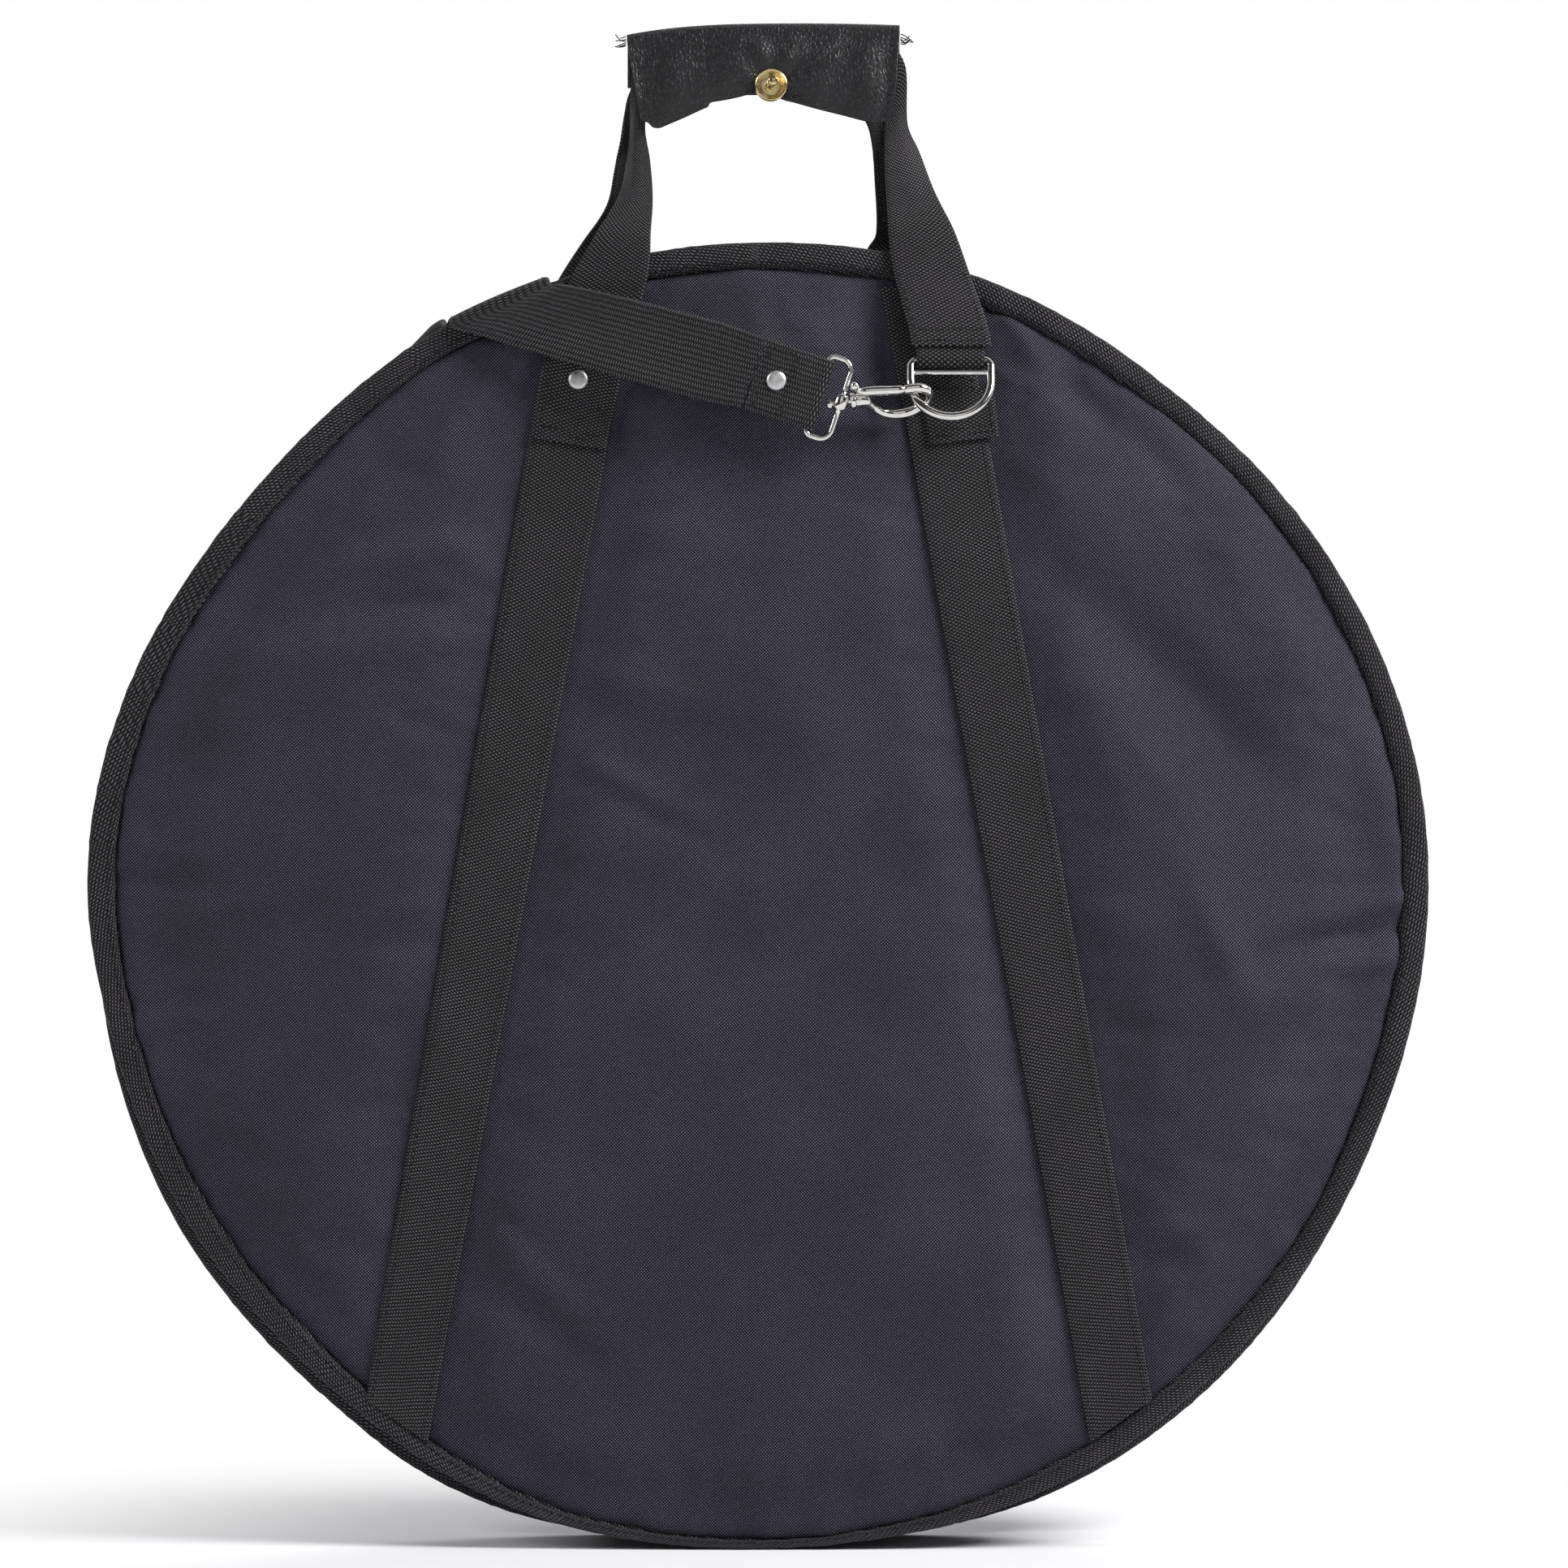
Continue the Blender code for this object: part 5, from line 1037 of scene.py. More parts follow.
# Handles. The strap leaves the cover at the binding, leans in and is folded lengthwise into the grip.
FRONT_OUTER = ((-78.1, 621.8), (-65, 644.5), (-61.9, 661.2), (-60.2, 677), (-59.3, 706.5), (-51, 718.3), (-30, 720.3),
               (5, 720.3), (40, 720.3), (61, 718.3), (68.9, 708.5), (70.2, 677), (75, 666.1), (83.3, 644.1),
               (94.2, 621.8))
FRONT_INNER = ((-51.3, 621.8), (-50.6, 641.5), (-52.3, 659.2), (-54.5, 675), (-50.1, 687.3), (-40.5, 692.5),
               (-26.5, 693.5), (5, 693.5), (36.5, 693.5), (50.5, 692.5), (57.5, 687.3), (60.1, 675), (60.1, 658.2),
               (60.8, 638.5), (61.3, 621.8))
REAR_OUTER = ((-88.1, 621.8), (-72.9, 641.3), (-68.5, 655.8), (-65.4, 669.4), (-62.1, 694.9), (-53.9, 705.1),
              (-35.5, 706.8), (-5, 706.8), (25.4, 706.8), (47.9, 705.1), (58.6, 696.6), (64.4, 671.4), (68.9, 660),
              (77, 641), (87.2, 621.8))
REAR_INNER = ((-61.3, 621.8), (-59.1, 638.8), (-59.5, 654.1), (-60.3, 667.7), (-55.4, 682.3), (-46.3, 689.8),
              (-33.5, 692.7), (-5, 693.2), (23.5, 692.7), (40.3, 690.8), (49, 683.3), (54.3, 667.7), (55.5, 653.2),
              (56.6, 636.2), (56.3, 621.8))


# The end round the ring, on top of its loop: height, depth, middle, width
RING_END = ((0.6060, 0.0345, 0.0810, 0.0360), (0.5880, 0.0424, 0.0865, 0.0372), (0.5765, 0.0462, 0.0895, 0.0376),
            (0.5690, 0.0482, 0.0908, 0.0378))


def handle_rows(outer, inner, side, rise, grip_depth):
    """Rows across a whole handle strap: sewn end, leaning loop, cupped lengthwise where it is held, ring end."""
    way = -side
    edges = [[(way * x, z) for x, z in edge] for edge in END_EDGES]
    sewn = laid_rows(side, edges, 0.0021, 0.003, 11)[::-1]
    flat = resample([[(a / 1000, 0, b / 1000), (c / 1000, 0, d / 1000)] for (a, b), (c, d) in zip(outer, inner)],
                    0.0028)
    if side > 0:
        flat = flat[::-1]
    loop = []
    for a, b in flat:
        row = []
        for k in range(11):
            share = k / 10
            x, _, z = a + (b - a) * share
            lean = min(1, max(0, (z - 0.6218) / (0.48 * rise)))
            depth = 0.0333 + (grip_depth - 0.0333) * lean
            height = (z - 0.6218) / rise
            cup = 0.0065 * math.exp(-((height - 0.42) / 0.22) ** 2)
            fold = max(0, 0.42 - share) / 0.42
            depth -= cup * fold**1.3 * (1.6 if (x < 0) == (side < 0) else 0.8)
            depth += 0.0012 * math.sin(math.pi * share) * math.exp(-((height - 0.3) / 0.2) ** 2)
            row.append((x, side * depth, z))
        loop.append(row)
    ring = [[(x + w / 2 - w * k / 10, -d, z) for k in range(11)] for z, d, x, w in RING_END]
    ring = resample(half_turn(side, ring), 0.0028)
    rows = np.concatenate([sewn, np.array(loop)[1:], ring])
    for joint in (len(sewn), len(sewn) + len(loop) - 1):
        for _ in range(3):
            part = rows[joint - 5:joint + 5]
            rows[joint - 4:joint + 4] = (part[:-2] + 2 * part[1:-1] + part[2:]) / 4
    return rows, len(sewn), len(ring)


for side, prefix, outer, inner, rise, grip_depth in (
    (-1, "front", FRONT_OUTER, FRONT_INNER, 0.0985, 0.0092), (1, "rear", REAR_OUTER, REAR_INNER, 0.085, 0.0036),
):
    rows, sewn, ring = handle_rows(outer, inner, side, rise, grip_depth)
    strap, (top, normal) = ribbon(f"{prefix}_handle_webbing", rows, 0.0018, webbing, (0, side, 0), wave=0.0004)
    face = (top[:sewn], normal[:sewn])
    hem = (top[-ring:], normal[-ring:])
    box = [
        seam_line(face, 0.0032, 0.01, 0.70, 0), seam_line(face, 0.0032, 0.01, 0.70, 1), cross_line(face, 0.035),
        cross_line(face, 0.07), cross_line(face, 0.56), box_line(face, (0.12, 0.08), (0.88, 0.54)),
        box_line(face, (0.88, 0.08), (0.12, 0.54)),
    ]
    box += [cross_line(hem, 0.92), cross_line(hem, 0.80), seam_line(hem, 0.003, 0.1, 1, 0),
            seam_line(hem, 0.003, 0.1, 1, 1)]
    sewing = stitches(f"{prefix}_handle_stitches", box, 2.7, 0.8, thread)
    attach(sewing, f"{prefix}_half")
    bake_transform(strap)
    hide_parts(f"{prefix}_handle", f"{prefix}_handle_end")

# Grip cover. A piece of pebbled leather folded over the front handle, sewn through near both ends with two rows.
# Its middle hangs less far, and a press stud is riveted there. A second piece, the closing flap, lies back over the
# rear handle with its socket open.
COVER_TOP = 0.7206


def leather_grain(name, dark, light, pebble):
    """Pebbled leather: rounded cells with narrow valleys, a painted highlight on the cell tops and painted shade in the
    valleys, brightest in broad patches. Pebble is a cell in mm.
    """
    made = bpy.data.materials.new(name)
    made.use_nodes = True
    tree = made.node_tree
    tree.nodes.clear()
    place = add(tree, "ShaderNodeUVMap", uv_map="cloth").outputs[0]
    drift = add(tree, "ShaderNodeTexNoise", {"Vector": place, "Scale": 0.4, "Detail": 3.0})
    warped = add(tree, "ShaderNodeVectorMath", {
        0: drift.outputs["Color"], 1: (1.6, 1.6, 0), 2: place,
    }, operation="MULTIPLY_ADD")
    cells = add(tree, "ShaderNodeTexVoronoi", {
        "Vector": warped.outputs[0], "Scale": 1 / pebble, "Randomness": 0.85,
    }, feature="DISTANCE_TO_EDGE")
    pores = add(tree, "ShaderNodeTexNoise", {"Vector": place, "Scale": 4.5, "Detail": 3.0})
    creases = add(tree, "ShaderNodeTexNoise", {"Vector": place, "Scale": 0.16, "Detail": 4.0, "Distortion": 0.6})
    dome = add(tree, "ShaderNodeMapRange", {
        "Value": cells.outputs["Distance"], "From Max": 0.32,
    }, interpolation_type="SMOOTHSTEP")
    height = add(tree, "ShaderNodeMath", {0: pores.outputs["Fac"], 1: 0.12, 2: dome.outputs[0]},
                 operation="MULTIPLY_ADD")
    whole = add(tree, "ShaderNodeMath", {0: creases.outputs["Fac"], 1: 2.2, 2: height.outputs[0]},
                operation="MULTIPLY_ADD")
    # Painted highlight: broad patches, following the large creases, where the pale cell tops are brightest
    painted_highlight_patches = add(tree, "ShaderNodeMapRange", {
        "Value": creases.outputs["Fac"], "From Min": 0.35, "From Max": 0.7, "To Min": 0.35, "To Max": 1.0,
    })
    # Painted highlight and shade: the cell tops take the pale bluish colour, and the valleys take the dark one
    amount = add(tree, "ShaderNodeMath", {0: dome.outputs[0], 1: painted_highlight_patches.outputs[0]}, operation="MULTIPLY")
    tone = add(tree, "ShaderNodeMix", {"Factor": amount.outputs[0], 6: colour(dark), 7: colour(light)},
               data_type="RGBA")
    rough = add(tree, "ShaderNodeMapRange", {"Value": amount.outputs[0], "To Min": 0.50, "To Max": 0.36})
    bump = add(tree, "ShaderNodeBump", {"Height": whole.outputs[0], "Strength": 1.0, "Distance": 0.00016})
    # Seen along the leather, the pebbles hide one another's glossy sides, so the glare falls off there
    facing = add(tree, "ShaderNodeLayerWeight", {"Blend": 0.5})
    gloss = add(tree, "ShaderNodeMapRange", {
        "Value": facing.outputs["Facing"], "From Min": 0.45, "From Max": 0.80, "To Min": 1.5, "To Max": 1.06,
    })
    body = add(tree, "ShaderNodeBsdfPrincipled", {
        "Base Color": tone.outputs[2], "Roughness": rough.outputs[0], "Normal": bump.outputs[0],
        "IOR": gloss.outputs[0],
    })
    add(tree, "ShaderNodeOutputMaterial", {"Surface": body.outputs[0]})
    return made


# Split leather with an embossed pebble and a thin acrylic finish: black, with painted bluish highlights on the cell
# tops
leather = leather_grain("pebbled_split_leather", "#08070b", "#201d27", 2.0)
# Cast brass, lacquered and lightly tarnished
brass = metal("antique_brass_stud", "#b39a62", "#e6d8ab", 0.20, 0.32, 3, 0.006)
# Low edge of the cover's front, from end to end: x, z
COVER_LOW = ((-0.0660, 0.6800), (-0.0590, 0.6784), (-0.0560, 0.6760), (-0.0528, 0.6757), (-0.0277, 0.6856),
             (-0.0262, 0.6880), (-0.0100, 0.6906), (-0.0026, 0.6922), (0.0060, 0.6920), (0.0136, 0.6886),
             (0.0598, 0.6779), (0.0640, 0.6784), (0.0700, 0.6810))


def cover_rows():
    """The folded leather, from its low front edge over the top and down behind, one row for each place along."""
    rows = []
    for n in range(97):
        share = n / 96
        along = 2 * share - 1
        x = 0.0021 + along * 0.0650
        low = float(np.interp(x, [p[0] for p in COVER_LOW], [p[1] for p in COVER_LOW]))
        top = COVER_TOP + 0.0016 + 0.0016 * (1 - (along - 0.25) ** 2) - 0.0030 * max(0, -along) ** 3
        row = []
        for k in range(41):
            t = k / 40
            if t < 0.62:
                up = t / 0.62
                z = low + (top - 0.0030 - low) * up
                puff = math.sin(math.pi * min(1, up * 0.92 + 0.08)) ** 0.75
                pinch = 1 - 0.55 * math.exp(-((abs(along) - 0.93) / 0.10) ** 2)
                y = -0.0117 - 0.0042 * puff * pinch
                reach = math.hypot(x - 0.0056, z - 0.6961)
                turn = math.atan2(z - 0.6961, x - 0.0056)
                rays = math.sin(turn * 7 + 0.8) * math.exp(-((reach - 0.015) / 0.010) ** 2)
                y += 0.0030 * math.exp(-((reach / 0.0085) ** 2)) - 0.0006 * rays
                y -= 0.0016 * noise.noise(Vector((x * 55, z * 75, 2.2))) * (1 - abs(along) ** 6)
                x_here = x * (1 - (0.100 if x < 0 else 0.030) * (1 - up) - (0.0 if x < 0 else 0.05) * math.exp(-up / 0.14))
            elif t < 0.80:
                turn = math.pi * (t - 0.62) / 0.18
                y = -0.0102 - 0.0021 * math.cos(turn) + 0.0008 * (1 - math.cos(turn))
                z = top - 0.0030 + 0.0034 * math.sin(turn) ** 0.8
                x_here = x
            else:
                down = (t - 0.80) / 0.20
                y, z = -0.0065 - 0.0004 * down, top - 0.0030 - 0.020 * down
                x_here = x
            row.append((x_here, y, z))
        rows.append(row)
    return np.array(rows)


def skin(name, grid, thickness, material, out):
    """A sheet of leather through a grid of points, with its cut edges closed and slightly rounded."""
    along, across = np.gradient(grid, axis=0), np.gradient(grid, axis=1)
    normal = np.cross(along, across)
    normal /= np.maximum(np.linalg.norm(normal, axis=2, keepdims=True), 1e-12)
    flip = float(np.dot(normal[len(grid) // 2, grid.shape[1] // 4], out)) < 0
    if flip:
        normal = -normal
    top = grid + normal * thickness
    count, wide = grid.shape[:2]
    size = count * wide
    u = np.concatenate([[0], np.cumsum(np.linalg.norm(np.diff(grid[:, 0], axis=0), axis=1))]) * 1000
    v = np.concatenate([[0], np.cumsum(np.linalg.norm(np.diff(grid[count // 2], axis=0), axis=1))]) * 1000
    places = [(u[i], v[j]) for i in range(count) for j in range(wide)] * 2
    faces = []
    for i in range(count - 1):
        for j in range(wide - 1):
            a = i * wide + j
            quad = (a, a + wide, a + wide + 1, a + 1)
            faces.append(quad[::-1] if flip else quad)
            low = tuple(size + n for n in quad)
            faces.append(low if flip else low[::-1])
    border = [(i * wide, (i + 1) * wide) for i in range(count - 1)]
    border += [((i + 1) * wide + wide - 1, i * wide + wide - 1) for i in range(count - 1)]
    border += [(j + 1, j) for j in range(wide - 1)]
    border += [((count - 1) * wide + j, (count - 1) * wide + j + 1) for j in range(wide - 1)]
    faces += [(b, a, a + size, b + size) if not flip else (a, b, b + size, a + size) for a, b in border]
    mesh = mesh_from(name, np.concatenate([top.reshape(-1, 3), grid.reshape(-1, 3)]), faces, places)
    made = object_from(name, mesh, material)
    edge = made.modifiers.new("edge", "BEVEL")
    edge.width = 0.0004
    edge.segments = 2
    edge.limit_method = "ANGLE"
    edge.angle_limit = math.radians(50)
    mesh = settled(made, name)
    made.modifiers.clear()
    made.data = mesh
    return made, (top, normal)


wrap_leather, wrap_face = skin("grip_cover_leather", cover_rows(), 0.0018, leather, (0, -1, 0))
top, normal = wrap_face
flipped = (np.transpose(top, (1, 0, 2)), np.transpose(normal, (1, 0, 2)))
rows_of_thread = [seam_line(flipped, inset, 0.03, 0.72, k) for inset in (0.0030, 0.0095) for k in (0, 1)]
wrap_sewing = stitches("grip_cover_stitches", rows_of_thread, 3.4, 0.7, thread)
for piece in (wrap_leather, wrap_sewing):
    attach(piece, "front_grip")
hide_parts("grip_cover")

seat = Vector((0.0056, -0.0163, 0.69545))
stud_profile = ((0.0, -0.0004), (0.0077, -0.0004), (0.00775, 0.0006), (0.0076, 0.0013), (0.0071, 0.0016),
                (0.0064, 0.0014), (0.0056, 0.0009), (0.0040, 0.0006), (0.0027, 0.0006), (0.0025, 0.0008),
                (0.0024, 0.0030), (0.0020, 0.0033), (0.0019, 0.0039), (0.0023, 0.0042), (0.0024, 0.0056),
                (0.0021, 0.0062), (0.0014, 0.0065), (0.0, 0.0066))
stud = lathe("press_stud_brass", stud_profile[::-1], seat, (0, -1, 0), brass, 48, (0.18, 0, 0.30))
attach(stud, "front_grip")
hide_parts("press_stud")

# Loose threads at the leather's top corners
frays = []
for k, (x, z, way) in enumerate(((-0.0632, 0.7195, -1), (0.0672, 0.7205, 1))):
    for n in range(6):
        bend = 1.6 * noise.noise(Vector((k * 7.7, n * 3.1, 0.5)))
        length = 0.0022 + 0.0050 * abs(noise.noise(Vector((n * 2.3, k * 5.1, 1.5))))
        start = Vector((x + way * 0.0004, -0.0125 + 0.0010 * n, z - 0.0009 * ((n * 5) % 6)))
        frays.append([start + Vector((way * length * s, -0.0006 * s, length * (0.5 + bend) * s**2 - 0.002 * s))
                      for s in (0, 0.25, 0.5, 0.75, 1)])


def tube(name, spots, normal, material, sides=18, closed=False):
    """A bent wire through (x, y, z, radius) stations that lie in one plane, with rounded ends."""
    spots = np.asarray(spots, dtype=float)
    normal = np.array(tuple(Vector(normal).normalized()))
    places = spots[:, :3]
    if closed:
        tangent = np.roll(places, -1, axis=0) - np.roll(places, 1, axis=0)
    else:
        tangent = np.gradient(places, axis=0)
    tangent /= np.maximum(np.linalg.norm(tangent, axis=1, keepdims=True), 1e-12)
    if not closed:
        first, last = spots[0], spots[-1]
        ends = []
        for spot, way in ((first, -tangent[0]), (last, tangent[-1])):
            ends.append([np.array([*(spot[:3] + way * spot[3] * math.sin(t) * 0.5), spot[3] * math.cos(t)])
                         for t in (0.5, 0.95, 1.35)])
        spots = np.array([*ends[0][::-1], *spots, *ends[1]])
        tangent = np.array([tangent[0]] * 3 + list(tangent) + [tangent[-1]] * 3)
    points, uvs = [], []
    far = np.concatenate([[0], np.cumsum(np.linalg.norm(np.diff(spots[:, :3], axis=0), axis=1))]) * 1000
    for spot, along, mark in zip(spots, tangent, far):
        side = np.cross(along, normal)
        side /= max(np.linalg.norm(side), 1e-9)
        up = np.cross(side, along)
        for k in range(sides):
            turn = 2 * math.pi * k / sides
            points.append(spot[:3] + spot[3] * (math.cos(turn) * side + math.sin(turn) * up))
            uvs.append((spot[3] * 1000 * abs(turn - math.pi), mark))
    count = len(spots)
    faces = []
    for n in range(count if closed else count - 1):
        for k in range(sides):
            a, b = n * sides + k, n * sides + (k + 1) % sides
            c, d = (b + sides) % (count * sides), (a + sides) % (count * sides)
            faces.append((d, c, b, a))
    if not closed:
        faces.append(tuple(range(sides)))
        faces.append(tuple(reversed(range((count - 1) * sides, count * sides))))
    mesh = mesh_from(name, points, faces, uvs)
    mesh.set_sharp_from_angle(angle=math.radians(55))
    return object_from(name, mesh, material)


loose = []
for n, line in enumerate(frays):
    spots = resample([[(*p, 0.00026)] for p in line], 0.0006)[:, 0]
    loose.append(tube(f"loose_thread_{n + 1}", spots, (0, 1, 0.1), thread, 6))
for piece in loose:
    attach(piece, "front_grip")

flap_rows = []
for n in range(41):
    share = n / 40
    y = -0.0062 + 0.064 * share
    z = COVER_TOP + 0.0008 - 0.011 * share**2.2
    half = 0.046 * math.sqrt(1 - 0.75 * max(0, share - 0.8) / 0.2)
    flap_rows.append([(0.005 + half * (k / 12 - 1), y + 0.0010 * abs(k / 12 - 1) ** 4,
                       z + 0.0009 * noise.noise(Vector((k * 0.5, share * 4, 3.3))) * share) for k in range(25)])
flap_leather, flap_face = skin("grip_flap_leather", np.array(flap_rows), 0.0018, leather, (0, 0, 1))
flap_lines = [seam_line(flap_face, 0.003, 0.02, 0.80, k) for k in (0, 1)] + [cross_line(flap_face, 0.955, 0.003)]
flap_sewing = stitches("grip_flap_stitches", flap_lines, 3.4, 0.7, thread)
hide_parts("grip_flap")
slope = -0.011 * 2.2 * 0.80**1.2 / 0.066
up = Vector((0, -slope, 1)).normalized()
spot = Vector((0.005, -0.0062 + 0.80 * 0.064, COVER_TOP + 0.0008 - 0.011 * 0.80**2.2))
socket = lathe("stud_socket_brass", (
    (0.0, 0.0010), (0.0024, 0.0010), (0.0027, 0.0016), (0.0030, 0.0022), (0.0042, 0.0022), (0.0047, 0.0018),
    (0.0056, 0.0010), (0.0060, 0.0006), (0.0060, -0.0002)), spot, -up, brass)
cap = lathe("socket_cap_brass", (
    (0.0, 0.0018), (0.0020, 0.00176), (0.0043, 0.0015), (0.0060, 0.0011), (0.0069, 0.0006), (0.0072, 0.0002),
    (0.0071, -0.0004)), spot + up * 0.0018, up, brass, 48)
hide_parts("stud_socket")
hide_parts("socket_cap")
for piece, slot in ((flap_leather, "pebbled_leather"), (flap_sewing, "pebbled_leather"), (socket, "antique_brass"),
                    (cap, "antique_brass")):
    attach(piece, "grip_flap")

# D-rings. 4.5 mm steel wire bent to a D and welded, with a thin bar across, bright nickel plated.
TILT = math.radians(25)


def ring_place(across, down):
    """A point of the front ring, which hangs tilted away from the cover."""
    return (RING_X + across, -(RING_DEPTH + down * math.sin(TILT)), RING_HEIGHT - down * math.cos(TILT))


for side, prefix in ((-1, "front"), (1, "rear")):
    half, corner, straight = 0.0189, 0.0036, 0.0110
    route = [(x, 0) for x in np.linspace(-half + corner, half - corner, 14)]
    route += [(half - corner + corner * math.sin(t), corner - corner * math.cos(t)) for t in np.linspace(0.2, 1.4, 6)]
    route += [(half, z) for z in np.linspace(corner, straight, 5)]
    route += [(half * math.cos(t), straight + half * math.sin(t)) for t in np.linspace(0.06, math.pi - 0.06, 42)]
    route += [(-half, z) for z in np.linspace(straight, corner, 5)]
    route += [(-half + corner - corner * math.sin(t), corner - corner * math.cos(t)) for t in np.linspace(1.4, 0.2, 6)]
    spots = half_turn(side, [[(*ring_place(a, d), RING_RADIUS) for a, d in route]])[0]
    plane = (0, -side * -math.cos(TILT), math.sin(TILT))
    ring = tube(f"{prefix}_d_ring_wire", spots, plane, nickel, 20, True)
    bar = half_turn(side, [[(*ring_place(a, 0.0064), 0.0013) for a in np.linspace(-half, half, 12)]])[0]
    crossbar = tube(f"{prefix}_d_ring_crossbar", bar, (0, 1, 0.2), nickel, 12)
    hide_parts(f"{prefix}_d_ring")
    for piece in (ring, crossbar):
        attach(piece, f"{prefix}_clip")

# Snap hooks. A cast bow on a swivel pin, a sprung gate with a thumb lever, and an oval wire eye for the strap,
# all bright nickel plated. The pin's collar turns in the eye's barrel.
HOOK = ((7.5, 0, 3.5), (10.5, .3, 3.3), (12.8, 3.0, 2.7), (15.5, 7.0, 2.2), (19.5, 10.8, 2.3), (24.5, 12.7, 2.5),
        (30.0, 12.9, 2.6), (35.5, 11.0, 2.5), (39.8, 7.4, 2.2), (41.8, 3.0, 2.1), (41.0, -.4, 2.2),
        (38.4, -2.6, 2.3), (34.5, -3.2, 2.35), (30.9, -3.1, 2.35))
GATE = ((7.2, -9.8, 1.9), (8.0, -7.6, 1.3), (10.2, -5.6, 1.9), (12.6, -5.2, 2.4), (15.0, -5.0, 2.5), (24.0, -3.8, 2.3),
        (28.4, -3.3, 2.2), (29.7, -3.1, 1.9))
PIN = ((-6.9, 0), (-6.8, 1.6), (-6.4, 2.3), (-5.6, 2.6), (-4.6, 2.6), (-4.5, 1.2), (4.5, 1.2), (4.6, 3.9), (4.9, 4.2),
       (6.6, 4.2), (7.0, 3.9), (7.2, 3.3), (7.7, 3.3))
strap_way = Vector((0.9489, 0, -0.3156))
FRAMES = {
    "front": (Vector((0.038667, -0.056219, 0.54217)), Vector((0.99144, 0, 0.13053)), Vector((0.0839, 0.766, -0.6373)),
              strap_way, Vector((0.3156, 0, 0.9489)), -1),
    "rear": (Vector((-0.0905, 0.061316, 0.500401)), Vector((0, 0, 1)), Vector((0, -1, 0)),
             Vector((0, 0, 1)), Vector((-1, 0, 0)), 1),
}
for prefix, (centre, along, bow, strap, length, side) in FRAMES.items():
    def hook_spots(route, step):
        stations = [[(*(centre + along * (a / 1000) + bow * (b / 1000)), r / 1000)] for a, b, r in route]
        return resample(stations, step)[:, 0]

    plane = along.cross(bow)
    hook = tube(f"{prefix}_hook_bow", hook_spots(HOOK, 0.0009), plane, nickel, 20)
    pin = lathe(f"{prefix}_hook_pin", [(r / 1000, a / 1000) for a, r in PIN], centre, along, nickel)
    gate = tube(f"{prefix}_hook_gate_lever", hook_spots(GATE, 0.0007), plane, nickel, 18)
    ball = lathe(f"{prefix}_hook_thumb_stud",
                 [(0.0022 * math.sin(t), -0.0022 * math.cos(t)) for t in np.linspace(0.05, math.pi - 0.05, 14)],
                 centre + along * 0.0072 - bow * 0.0098, bow, nickel, 24)
    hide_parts(f"{prefix}_hook")
    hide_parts(f"{prefix}_hook_gate")
    half, near, deep = 0.0195, 0.0055, 0.0115
    route = [(0, b, 0.00135) for b in np.linspace(-half + near, -0.0052, 6)]
    route += [(0, -0.0040, 0.0020), (0, -0.0034, 0.0031), (0, -0.0026, 0.0035), (0, 0.0, 0.0036), (0, 0.0026, 0.0035),
              (0, 0.0034, 0.0031), (0, 0.0040, 0.0020)]
    route += [(0, b, 0.00135) for b in np.linspace(0.0052, half - near, 6)]
    route += [(-near + near * math.cos(t), half - near + near * math.sin(t), 0.00135)
              for t in np.linspace(0.15, math.pi / 2, 8)]
    far = 0.0028
    route += [(-deep + far - far * math.sin(t), half - far + far * math.cos(t), 0.00135)
              for t in np.linspace(0, math.pi / 2, 6)]
    route += [(-deep, b, 0.00135) for b in np.linspace(half - far - 0.001, -half + far + 0.001, 16)]
    route += [(-deep + far - far * math.cos(t), -half + far - far * math.sin(t), 0.00135)
              for t in np.linspace(0, math.pi / 2, 6)]
    route += [(-near + near * math.sin(t), -half + near - near * math.cos(t), 0.00135)
              for t in np.linspace(0, math.pi / 2 - 0.15, 8)]
    spots = [(*(centre + strap * a + length * b), r) for a, b, r in route]
    eye = tube(f"{prefix}_hook_eye_wire", spots, strap.cross(length), nickel, 18, True)
    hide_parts(f"{prefix}_hook_eye")
    for piece, body in ((hook, "snap"), (pin, "snap"), (gate, "gate"), (ball, "gate"), (eye, "clip")):
        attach(piece, f"{prefix}_{body}")

# Shoulder strap. One long strap of finer webbing: from the front hook's eye up over the rim, down behind the bag,
# round a hanging loop, back up through the slide adjuster, to the rear hook's eye.
# Polypropylene webbing with fine ribs: rows 1 mm apart across the strap, and close floats
strap_cloth = woven(
    "fine_ribbed_webbing", "#060506", "#605c61",
    lambda tree: weave(tree, 2.4, 0.58), 0.20, 0.58, 60, 0.03,
)
centre, along, bow, strap, length, side = FRAMES["front"]


def fold_rows(prefix, wide):
    """The strap's end round the eye's bar: rows from the outer end round to the inner one."""
    centre, _, _, strap, length, side = FRAMES[prefix]
    outward, wrap = Vector((0, side, 0)), 0.00165
    bar = centre - strap * 0.0115
    spine = [bar - strap * d + outward * (wrap + extra) for d, extra in
             ((0.0310, 0.0002), (0.0240, 0.0003), (0.0160, 0.0004), (0.0080, 0.0002), (0.0030, 0.0))]
    spine += [bar + strap * wrap * math.sin(t) + outward * wrap * math.cos(t)
              for t in [math.pi * n / 10 for n in range(11)]]
    spine += [bar - strap * d - outward * wrap for d in (0.0030, 0.0120, 0.0310)]
    return [[p - length * wide / 2, p, p + length * wide / 2] for p in spine]


